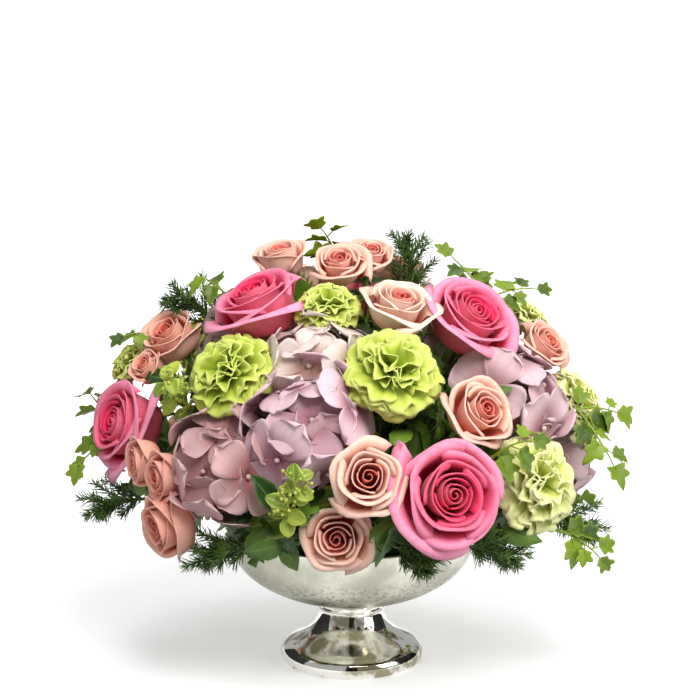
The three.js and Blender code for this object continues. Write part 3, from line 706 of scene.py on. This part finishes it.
# How far each piece's colour is from one end of its kind's range to the other
TONES = {
    "spray_rose": [0.9, 0.3, 0.8, 0.6, 0.75, 0.6, 0.6, 0.8, 1.0, 0.7, 0.5, 0.6, 0.7],
    "carnation": [0.1, 0.15, 0.2, 0.8, 0.95, 0.6, 0.3, 0.5, 0.2],
    "hydrangea": [0.95, 0.8, 0.75, 0.2, 0.6, 0.7, 0.5, 0.4],
}
# How far each hydrangea's pink is from mauve to brownish
WARMTH = {"hydrangea": [0.9, 0.2, 0.3, 0.4, 0.5, 0.5, 0.5, 0.3]}
HALF_OPEN_SPRAYS = ("spray_rose_1", "spray_rose_4", "spray_rose_9", "spray_rose_13")
# How far a piece's heads lean from the way they grow, so that their hearts show
NODS = {
    "rose_2": (0.12, -0.34, -0.05),
    "rose_3": (0.0, -0.25, -0.1),
    "rose_4": (-0.1, 0.0, -0.04),
    "spray_rose_1": (0.15, -0.5, 0.1),
    "spray_rose_3": (0.0, -0.5, 0.0),
    "spray_rose_4": (0.1, -0.3, 0.0),
    "spray_rose_8": (-0.1, -0.5, 0.1),
    "spray_rose_9": (-0.3, -0.05, -0.3),
}


def depth_in_heads(points):
    """How far in the nearest head points lie: the largest of the heads' depths."""
    return np.max([head.depth(points) for head in ALL_HEADS], axis=0)


def bloom(kind_name, index, head, spin):
    """One head's surface in its place, with its tone and warmth as attributes."""
    node = f"{kind_name}_{index + 1}"
    rng = draw_for(f"{kind_name}{index}{spin}")
    make, *shape = (cup_petals, HALF_OPEN_SHAPE) if node in HALF_OPEN_SPRAYS else KINDS[kind_name]["make"]
    surface = make(head.radius, head.height, rng, *shape)
    surface = head.put(surface, spin, np.array(NODS.get(node, (0, 0, 0))))
    for label, table in (("tone", TONES), ("warmth", WARMTH)):
        if kind_name in table:
            surface["values"][label] = np.full(len(surface["points"]), table[kind_name][index])
    return surface


def make_blooms(kind_name):
    """A piece for each entry of a kind, with all of the entry's heads, each turned by a spin of its own."""
    material = KINDS[kind_name]["finish"]()
    for index, heads in enumerate(KINDS[kind_name]["heads"]):
        node = f"{kind_name}_{index + 1}"
        surfaces = [bloom(kind_name, index, head, 1.3 * (index + 1) + i) for i, head in enumerate(heads)]
        make_piece(f"{node}_bloom", surfaces, material, f"{kind_name}_petal", node)


# Stems

def arc_between(start, middle, end, steps):
    """A smooth path (steps, 3) between two points, as a quadratic Bezier curve drawn towards a third."""
    t = np.linspace(0, 1, steps)[:, None]
    return (1 - t) ** 2 * start + 2 * t * (1 - t) * middle + t**2 * end


def flower_stems(material):
    """A stem from the foam to each entry's fork, and one from there to each head, swelling under it."""
    surfaces = []
    for kind in KINDS.values():
        for heads in kind["heads"]:
            fork = np.mean([head.back(NECK_LENGTH * len(heads)) for head in heads], axis=0)
            trunk = STEM_ROOT + (fork - STEM_ROOT) * np.linspace(0.3, 1, 8)[:, None]
            surfaces.append(tubes(trunk[None], kind["stem"] * MM, STEM_SIDES, chance=0.5))
            swell = np.interp(np.linspace(0, 1, 6), [0, 0.6, 0.85, 1], [1, 1, 1.9, 2.1]) * kind["stem"] * MM
            for head in heads:
                neck = fork + (head.back(-0.12 * head.height) - fork) * np.linspace(0, 1, 6)[:, None]
                surfaces.append(tubes(neck[None], swell[None], STEM_SIDES, chance=0.5))
    make_piece("flower_stems_round", surfaces, material, "stem", "flower_stems")


# Leaves

def leaf_form(x, y, sizes, rng, fold, arch):
    """Leaves from their flat coordinates, as shares of their sizes: each is folded up along the rib, arched
    down towards the tip and twisted by draws of its own."""
    count = len(sizes)
    bend = arch * (1 + rng.uniform(-0.8, 0.8, (count, 1, 1)))
    folded = fold * (1 + rng.uniform(-0.7, 0.7, (count, 1, 1)))
    twist = rng.uniform(-0.25, 0.25, (count, 1, 1))
    return stacked(x, y, folded * np.abs(x) - bend * y**2 + twist * x * y) * sizes[:, None, None, None]


def leaf_grids(sizes, rng, outline, fold=0.25, arch=0.3, columns=5):
    """Leaves along +Y from their stalks at the origin, one for each size. The outline gives the half width at
    each share of the length and how far each point is swept forwards."""
    shares, widths, sweeps = (np.array(row)[None, :, None] for row in zip(*outline))
    u = np.linspace(-1, 1, columns)[None, None, :]
    return leaf_form(u * widths, shares + sweeps * np.abs(u), sizes, rng, fold, arch)


# Outlines: the share of the length, the half width there, and how far it is swept forwards
ROUND_OUTLINE = [
    (v, 0.42 * np.sin(np.pi * (0.02 + 0.96 * v) ** 0.85) ** 0.7 + 0.01, 0.0)
    for v in np.linspace(0, 1, 8)
]
BROAD_OUTLINE = [
    (v, 0.3 * np.sin(np.pi * (0.02 + 0.97 * v) ** 0.8) + 0.01, 0.0)
    for v in np.linspace(0, 1, 9)
]
LOBED_OUTLINE = [
    (
        v,
        (0.05 + 0.33 * np.sin(np.pi * (0.03 + 0.96 * v) ** 0.7)) * (1.0 if i % 2 else 0.5) + 0.005,
        0.1 * (i % 2),
    )
    for i, v in enumerate(np.linspace(0, 1, 11))
]
# How far a lobed leaf's edge is from its middle, at angles in degrees from the tip's direction
LOBES = [
    (0, 0.64), (10, 0.54), (20, 0.47), (32, 0.35), (44, 0.43), (56, 0.57), (66, 0.5), (78, 0.42),
    (92, 0.31), (106, 0.38), (120, 0.46), (136, 0.4), (156, 0.35), (170, 0.36), (180, 0.3),
]


def lobed_grids(sizes, rng, fold=0.3, arch=0.3):
    """Lobed leaves along +Y from their stalks at the origin, one for each size. Each is a round grid: v runs
    from its middle to its edge and u once round it, and the edge is as far from the middle as a smooth line
    through LOBES says."""
    draws = (len(sizes), 1, 1)
    u = np.linspace(-1, 1, LOBED_SIDES)[None, None, :]
    v = np.linspace(0.004, 1, 5)[None, :, None]
    edge = np.interp(np.abs(u) * 180, *zip(*LOBES)) * (1 + 0.1 * rng.uniform(-1, 1, draws))
    edge = edge * (1 + 0.07 * np.sin(np.pi * u * 3 + rng.uniform(0, 6, draws)))
    x, y = v * edge * np.sin(np.pi * u), 0.36 + v * edge * np.cos(np.pi * u)
    return leaf_form(x, y, sizes, rng, fold, arch)


def leaf_frames(ribs, faces):
    """Frames for leaves whose ribs run along one direction and whose faces look towards another."""
    faces = unit(faces)
    ribs = unit(ribs - faces * np.sum(ribs * faces, axis=-1, keepdims=True))
    return stacked(np.cross(ribs, faces), ribs, faces)


def leaves_at(places, ribs, faces, sizes, outline, rng, chances, **shape):
    """Leaves at places, lobed ones where no outline is given. The attributes of those run outwards only."""
    grids = leaf_grids(sizes, rng, outline, **shape) if outline else lobed_grids(sizes, rng, **shape)
    u, v = across_and_along(*grids.shape[1:3])
    grids = placed(grids, leaf_frames(ribs, faces), places)
    values = {"along": v, "across": u if outline else v, "chance": chances[:, None, None]}
    return shells(grids, LEAF_THICKNESS, **values)


def sprig_controls(row):
    """The points of a sprig: its cut end in the foam, over the rim, and where it forks."""
    (azimuth, elevation), tips = row[0], row[1:]
    over = dome_point(azimuth, max(elevation, LEAST_CLIMB), SPRIG_BEND)
    start = STEM_ROOT + unit(over - STEM_ROOT) * SPRIG_START
    furthest = max(tip[2] for tip in tips)
    fork = dome_point(azimuth, elevation, min(STRAIGHT_REACH, furthest - 22))
    return start, over, fork


def along_path(path, count, first, last):
    """Places and directions at even shares of a path (steps, 3), between two shares of its length."""
    lengths = np.concatenate([[0], np.cumsum(np.linalg.norm(np.diff(path, axis=0), axis=1))])
    wanted = np.linspace(first, last, count) * lengths[-1]
    places = np.stack([np.interp(wanted, lengths, path[:, i]) for i in range(3)], axis=-1)
    heading = np.gradient(path, axis=0)
    headings = np.stack([np.interp(wanted, lengths, heading[:, i]) for i in range(3)], axis=-1)
    return places, unit(headings)


def tapered_stem(path, chance):
    """A slim tube along a path, thinner towards its tip."""
    radii = np.linspace(1.1, 0.5, len(path))[None] * MM
    return tubes(path[None], radii, SPRIG_SIDES, chance=chance, across=0.0)


def leafy_stem(path, count, first, size, outline, rng, **shape):
    """A slim stem along a path, with leaves on short stalks to one side and the other and one at the tip.
    Their faces look outwards from the dome, upwards, and away from its middle plane."""
    places, headings = along_path(path, count, first, 0.99)
    outwards = unit(places - DOME_CENTRE)
    aside = np.where(places[:, 1:2] < 0.02, -0.6, 0.6) * np.array([0, 1.0, 0])
    faces = unit(outwards * 0.5 + aside + UP * 0.5 + rng.uniform(-0.4, 0.4, (count, 3)))
    sides = np.where(np.arange(count) % 2, 1.0, -1.0) * rng.uniform(0.7, 1.25, count)
    sides[-1] = 0.1
    level = unit(np.cross(headings, faces))
    ribs = unit(headings * np.cos(sides)[:, None] + level * np.sin(sides)[:, None])
    stalk = rng.uniform(0.1, 0.35, count) * size
    starts = places + ribs * stalk[:, None]
    sizes = size * rng.uniform(0.7, 1.1, count) * np.linspace(1.0, 0.8, count)
    clear = depth_in_heads(starts + ribs * (0.5 * sizes)[:, None]) < 0.95
    chances = rng.uniform(0, 1, count)
    parts = [tapered_stem(path, 0.6)]
    if clear.any():
        shown = (starts[clear], ribs[clear], faces[clear], sizes[clear], outline, rng, chances[clear])
        parts.append(leaves_at(*shown, **shape))
        stalks = np.stack([places[clear], starts[clear] + ribs[clear] * 0.002], axis=1)
        parts.append(tubes(stalks, 0.0005, 5, chance=0.6, across=0.0))
    return merged(parts)


def sprig_paths(row):
    """The trunk of a sprig, in two straight stretches that run clear of the heads, and its arms, each
    curving from the fork to its tip with a little rise on the way."""
    start, over, fork = sprig_controls(row)
    trunk = np.concatenate([np.linspace(start, over, 5)[:-1], np.linspace(over, fork, 6)])
    arms = []
    for tip in row[1:]:
        end = dome_point(*tip)
        arms.append(arc_between(fork, (fork + end) / 2 + UP * SPRIG_RISE, end, 10))
    return trunk, arms


def make_sprigs(kind, rows, dress, slot, *greens):
    """A piece for each sprig: its trunk, its arms dressed with leaves or needles, and its low leaves."""
    material = leaf_finish(slot, *greens)
    for index, row in enumerate(rows):
        node = f"{kind}_{index + 1}"
        rng = draw_for(node)
        trunk, arms = sprig_paths(row)
        surfaces = [tubes(trunk[None], SPRIG_RADIUS, SPRIG_SIDES, chance=0.6, across=0.0)]
        surfaces += [dress(arm, trunk, rng) for arm in arms] + low_leaves(row, rng)
        make_piece(f"{node}_sprig", surfaces, material, slot, node)


def ivy_arm(arm, trunk, rng):
    """Lobed leaves along the outer half of a stem."""
    whole = np.concatenate([trunk[-4:-1], arm])
    return leafy_stem(whole, 6, 0.55, IVY_LEAF, None, rng)


def bupleurum_arm(arm, trunk, rng):
    """Round leaves and clusters of tiny florets along the outer half of a stem."""
    whole = np.concatenate([trunk[-5:-1], arm])
    leafy = leafy_stem(whole, 12, 0.2, ROUND_LEAF, ROUND_OUTLINE, rng, fold=0.3, arch=0.2)
    places, headings = along_path(whole, 12, 0.3, 1.0)
    count = 6
    rays = unit(rng.normal(0, 1, (len(places), count, 3)) + headings[:, None] * 1.2)
    ends = places[:, None] + rays * rng.uniform(0.006, 0.012, (len(places), count, 1))
    stalks = np.stack([np.broadcast_to(places[:, None], ends.shape), ends], axis=2).reshape(-1, 2, 3)
    florets = beads(ends.reshape(-1, 3), 0.0012, chance=1.0, across=0.0)
    return merged([leafy, tubes(stalks, 0.0003, 4, chance=0.9, across=0.0), florets])


def golden_spokes(headings):
    """Unit vectors across headings, each turned from the last by the golden angle."""
    return spokes(frames_along(headings, [0.2, 0.3, 0.93]), np.arange(len(headings)) * GOLDEN_ANGLE)


def needles(path, count, first, length, rng, spread=0.9):
    """Fine tapered needles all round a path, turning by the golden angle, leaning towards its tip, shorter
    near the tip."""
    places, headings = along_path(path, count, first, 1.0)
    aside = golden_spokes(headings)
    lean = spread * rng.uniform(0.6, 1.3, count)[:, None]
    ways = unit(headings + aside * lean)
    taper = np.interp(np.linspace(0, 1, count), [0, 0.6, 1], [0.8, 1, 0.55])
    lengths = (length * rng.uniform(0.55, 1.1, count) * taper)[:, None, None]
    steps = np.array([0, 0.35, 0.75, 1.0])[:, None]
    bend = np.cross(headings, aside) * 0.08
    paths = places[:, None] + (ways[:, None] * steps + bend[:, None] * steps**2) * lengths
    radii = np.array([0.3, 0.42, 0.34, 0.07]) * MM
    chances = rng.uniform(0, 1, (count, 1, 1))
    return tubes(paths, radii[None], 3, chance=chances, across=0.5)


def fern_arm(arm, trunk, rng):
    """A plume: side shoots along the outer half of the stem, each with fine needles."""
    whole = np.concatenate([trunk[-4:-1], arm])[:-1]
    shoots = 14
    places, headings = along_path(whole, shoots, 0.3, 0.95)
    parts = [tapered_stem(whole, 0.3), needles(whole, 80, 0.35, STEM_NEEDLE, rng)]
    for i, (place, heading, aside) in enumerate(zip(places, headings, golden_spokes(headings))):
        reach = SIDE_SHOOT * np.interp(i / shoots, [0, 0.4, 1], [0.8, 1.0, 0.5]) * rng.uniform(0.8, 1.2)
        way = unit(heading + rng.uniform(0.6, 1.1) * aside)
        end = place + way * reach * (1 + 0.6 * min(way[2], 0))
        shoot = np.linspace(place, end, 5)
        parts.append(tubes(shoot[None], 0.0005, 5, chance=0.3, across=0.0))
        parts.append(needles(shoot, 38, 0.1, SHOOT_NEEDLE, rng))
    return merged(parts)


def low_leaves(row, rng):
    """Two broad leaves low on a sprig, to its left and right, that face outwards and lean a little that way.
    Sprigs on top of the dome have none."""
    if row[0][1] > 45:
        return []
    over, fork = sprig_controls(row)[1:]
    place = over + 0.3 * (fork - over)
    outwards = unit(place - DOME_CENTRE)
    level = unit(np.cross(outwards, UP))
    aside = level * np.cos(0.35) + np.cross(outwards, level) * np.sin(0.35)
    ribs = np.stack([aside, -aside]) + 0.3 * outwards
    places, faces = np.stack([place, place]), np.stack([outwards, outwards])
    sizes, chances = np.full(2, BROAD_LEAF), np.array([0.05, 0.2])
    return [leaves_at(places, ribs, faces, sizes, BROAD_OUTLINE, rng, chances, arch=0.15)]


def base_foliage(material):
    """Dark leaves close over the foam that fill the spaces between the heads, spaced over the dome by the
    golden angle, wherever no head already is."""
    rng = draw_for("base foliage")
    count = 900
    number = np.arange(count) + 0.5
    elevation = np.degrees(np.arcsin(1 - 1.06 * number / count))
    azimuth = np.degrees(number * GOLDEN_ANGLE)
    reach = rng.uniform(96, 160, count) * np.interp(elevation, [-5, 5, 30], [0.82, 0.92, 1.0])
    outwards = direction(azimuth, elevation)
    places = DOME_CENTRE + outwards * (reach * MM)[:, None]
    sizes = rng.uniform(*SMALL_LEAVES, count)
    loose = unit(rng.normal(0, 1, (count, 3)))
    ribs = unit(loose - outwards * np.sum(loose * outwards, axis=-1, keepdims=True) + outwards * 0.5)
    faces = unit(outwards + 0.5 * rng.normal(0, 1, (count, 3)))
    middles = places + ribs * (0.6 * sizes)[:, None]
    clear = (depth_in_heads(middles) < 0.9) & (depth_in_heads(places) < 1.1)
    # A leaf over a head counts too, so it is also tested further in.
    for inwards in (10 * MM, 22 * MM):
        clear &= depth_in_heads(middles - outwards * inwards) < 0.9
    clear &= (middles + ribs * (0.4 * sizes)[:, None])[:, 2] > LOWEST_LEAF
    surfaces = []
    for kind, outline in enumerate((BROAD_OUTLINE[::2], LOBED_OUTLINE)):
        chosen = clear & (number.astype(int) % 2 == kind)
        chances = rng.uniform(0, 0.8, chosen.sum())
        shown = places[chosen], ribs[chosen], faces[chosen], sizes[chosen]
        surfaces.append(leaves_at(*shown, outline, rng, chances, columns=3))
        roots = DOME_CENTRE + (places[chosen] - DOME_CENTRE) * 0.5
        stalks = np.stack([roots, places[chosen] + ribs[chosen] * 0.002], axis=1)
        surfaces.append(tubes(stalks, 0.0006, 4, chance=0.2, across=0.0))
    make_piece("base_foliage", surfaces, material, "ivy_leaf")


# Bowl

def rounded(points, steps):
    """A smooth line through points (count, 2): a Catmull-Rom curve with a few steps between each two."""
    points = np.asarray(points, float)
    padded = np.concatenate([[2 * points[0] - points[1]], points, [2 * points[-1] - points[-2]]])
    t = np.linspace(0, 1, steps, endpoint=False)[:, None]
    runs = []
    for before, start, end, after in zip(padded, padded[1:], padded[2:], padded[3:]):
        bend = 2 * start + (end - before) * t + (2 * before - 5 * start + 4 * end - after) * t**2
        runs.append(0.5 * (bend + (3 * start - before - 3 * end + after) * t**3))
    return np.concatenate([*runs, points[-1:]])


def turned_on_axis(profile, sides):
    """The surface of a profile of radius and height turned round the Z axis, closed at both poles."""
    angle = np.linspace(0, 2 * np.pi, sides, endpoint=False)
    inner = profile[1:-1]
    rings = stacked(inner[:, :1] * np.cos(angle), inner[:, :1] * np.sin(angle), inner[:, 1:])
    first, last = np.array([[0, 0, profile[0, 1]]]), np.array([[0, 0, profile[-1, 1]]])
    ring = np.arange(len(inner) * sides).reshape(-1, sides) + 1
    ahead = np.roll(ring, -1, axis=1)
    walls = np.stack([ring[:-1], ahead[:-1], ahead[1:], ring[1:]], -1).reshape(-1, 4)
    end = len(inner) * sides + 1
    bottom = np.stack([ahead[0], ring[0], np.zeros(sides, int)], -1)
    top = np.stack([ring[-1], ahead[-1], np.full(sides, end)], -1)
    points = np.concatenate([first, rings.reshape(-1, 3), last])
    return {"points": points, "faces": [walls, bottom, top], "values": {}}


def bowl(material):
    """The bowl's profile turned round its axis: a rolled foot, a waist, a thin ring, a flared collar, and a
    round cup with a rounded rim, and then down the inside to its middle. Each run of points is measured
    from its own place, and the cup's are shares of its radius and height."""
    foot = [(-2.0, 0.1), (-0.4, 1.4), (0.1, 4.0), (-0.1, 7.2), (-1.8, 10.6), (-5.9, 13.9)]
    waist = [(15.2, 17.6), (9.2, 21.5), (5.2, 25.6), (2.7, 29.6), (1.0, 33.6), (0.1, 36.3)]
    ring = [(0.2, 0.2), (1.1, 0.7), (1.5, 1.7), (1.2, 2.8), (0.2, 3.6)]
    collar = [(-0.1, 0.1), (0.2, 1.2), (1.3, 2.9), (4.4, 5.2)]
    cup = [
        (0.355, 0.0), (0.41, 0.02), (0.49, 0.063), (0.55, 0.09), (0.63, 0.145), (0.716, 0.222),
        (0.797, 0.312), (0.864, 0.414), (0.921, 0.535), (0.958, 0.66), (0.98, 0.785), (0.993, 0.92),
        (0.998, 0.985),
    ]
    inside = [(-3.6, -2), (-7.5, -18), (-13.3, -27), (-35.4, -43), (-58, -51), (-80, -53.8)]
    outside = np.concatenate([
        np.array(foot) + [FOOT_RADIUS, 0],
        np.array(waist) + [NECK_RADIUS, 0],
        np.array(ring) + [NECK_RADIUS, NECK_HEIGHT],
        np.array(collar) + [NECK_RADIUS, COLLAR_HEIGHT],
        np.array(cup) * [RIM_RADIUS, RIM_HEIGHT - LIP - CUP_HEIGHT] + [0, CUP_HEIGHT],
        [(RIM_RADIUS - 0.6, RIM_HEIGHT - 0.2), (RIM_RADIUS - 1.8, RIM_HEIGHT)],
        np.array(inside) + [RIM_RADIUS, RIM_HEIGHT],
    ])
    flat = [(0, 0), (20, 0), (44, 0), (46.4, 0.02)]
    profile = np.concatenate([flat, rounded(outside, 4), [(0, FLOOR_HEIGHT)]]) * MM
    make_piece("pedestal_bowl", [turned_on_axis(profile, BOWL_SIDES)], material, "mercury_glass", "bowl")


# Studio

# Softboxes: azimuth, elevation and distance in metres, width in metres, and watts
SOFTBOXES = {
    "key_light": (14, 50, 1.5, 0.7, 17.5),
    "fill_light": (62, 22, 1.7, 0.9, 11),
    "side_light": (-95, 30, 1.7, 0.9, 2),
    "top_light": (170, 66, 1.6, 0.8, 7.5),
}
# Dark cards: azimuth, and width in metres
CARDS = {"card_front": (0, 0.42), "card_left": (-110, 1.5), "card_right": (104, 1.1)}
CARD_DISTANCE = 1.3
CARD_HEIGHT = 1.3
LIT_HEIGHT = 0.15
SKY_STRENGTH = 0.42
FLOOR_REACH = 14.0
# The camera stands this far off and this many degrees above the middle of the arrangement
CAMERA_DISTANCE = 1.9
CAMERA_CLIMB = 14.5
CAMERA_BESIDE = np.array([-0.0011, 0, 0])
CAMERA_LENS = 139.59
MIDDLE_HEIGHT = 0.160
AIM_HEIGHT = 0.224


def aim(thing, place, target):
    """Turns a light or camera so that it looks from its place at a target."""
    turn = Matrix(frames_along(place - target, UP).tolist())
    thing.matrix_world = Matrix.Translation(place) @ turn.to_4x4()


def add_sheet(name, corners, material):
    """A flat, four-cornered piece of the studio, which casts no bounced light."""
    mesh = bpy.data.meshes.new(name)
    mesh.from_pydata(corners, [], [(0, 1, 2, 3)])
    mesh.materials.append(material)
    made = add_to_scene(name, mesh)
    made.visible_diffuse = False
    return made


def add_floor():
    """A pale floor that glows more the further it is from the bowl, so that it ends in plain white."""
    floor = Finish("studio_floor", 0.9, Base_Color=(0.9, 0.9, 0.9, 1), Emission_Color=(1, 1, 1, 1))
    away = floor.node("ShaderNodeVectorMath", [(0, floor.object_place())], operation="LENGTH")
    floor.take(Emission_Strength=floor.shares(away.outputs["Value"], 0.25, 1.0, 0.34, 1.0))
    ways = ((-1, -1), (1, -1), (1, 1), (-1, 1))
    add_sheet("studio_floor", [(x * FLOOR_REACH, y * FLOOR_REACH, 0) for x, y in ways], floor.material)


def add_sky():
    """A plain white surround."""
    world = bpy.data.worlds.new("studio")
    world.use_nodes = True
    background = world.node_tree.nodes["Background"]
    background.inputs["Color"].default_value = (1, 1, 1, 1)
    background.inputs["Strength"].default_value = SKY_STRENGTH
    bpy.context.scene.world = world


def add_softbox(name, azimuth, elevation, distance, width, watts):
    """A square soft light that looks at the arrangement."""
    lamp = bpy.data.lights.new(name, "AREA")
    lamp.shape = "SQUARE"
    lamp.size = width
    lamp.energy = watts
    middle = UP * LIT_HEIGHT
    aim(add_to_scene(name, lamp), direction(azimuth, elevation) * distance + middle, middle)


def add_card(name, azimuth, width):
    """A tall dark card at a distance, which only reflections see."""
    dark = Finish(name, 1.0, Base_Color=(0.01, 0.01, 0.01, 1))
    out = direction(azimuth, 0)
    along = np.cross(UP, out) * width / 2
    foot, rise = out * CARD_DISTANCE, UP * CARD_HEIGHT
    corners = np.stack([foot - along, foot + along, foot + along + rise, foot - along + rise])
    made = add_sheet(name, corners.tolist(), dark.material)
    made.visible_camera = made.visible_shadow = made.visible_transmission = False


def add_camera():
    """A camera with no tilt to either side, aimed so that the arrangement stands where it does in the
    picture."""
    camera = bpy.data.cameras.new("camera")
    camera.sensor_width = 36
    camera.lens = CAMERA_LENS
    camera.clip_start = 0.05
    made = add_to_scene("camera", camera)
    place = CAMERA_BESIDE + UP * MIDDLE_HEIGHT + direction(0, CAMERA_CLIMB) * CAMERA_DISTANCE
    aim(made, place, CAMERA_BESIDE + UP * AIM_HEIGHT)
    bpy.context.scene.camera = made


def make_studio():
    """A plain pale floor, soft light from both sides and above, dark cards for the silver to reflect, and
    the camera."""
    add_floor()
    add_sky()
    for name, box in SOFTBOXES.items():
        add_softbox(name, *box)
    for name, card in CARDS.items():
        add_card(name, *card)
    add_camera()


# The rows of each kind of sprig, what dresses its arms, its slot, and its leaves' shade, light and margin
SPRIGS = {
    "ivy": (IVY_SPRIGS, ivy_arm, "ivy_leaf", "35500f", "7d971d", "9bb23a", 0.4),
    "bupleurum": (BUPLEURUMS, bupleurum_arm, "bupleurum_leaf", "66801a", "a9bb34", "c9d468"),
    "fern": (FERN_FRONDS, fern_arm, "fern_needle", "24420f", "66883a", "789a4c"),
}


def make_all():
    """Every piece of the arrangement, and then the studio."""
    bpy.context.scene.view_settings.view_transform = "Standard"
    for kind_name in KINDS:
        make_blooms(kind_name)
    flower_stems(stem_finish())
    for kind_name, row in SPRIGS.items():
        make_sprigs(kind_name, *row)
    base_foliage(leaf_finish("base_leaf", "1f4210", "6b9028", "7b9e3a", 0.3))
    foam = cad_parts["floral_foam"].data
    foam.materials.clear()
    foam.materials.append(foam_finish())
    bowl(silver_finish())
    make_studio()


make_all()
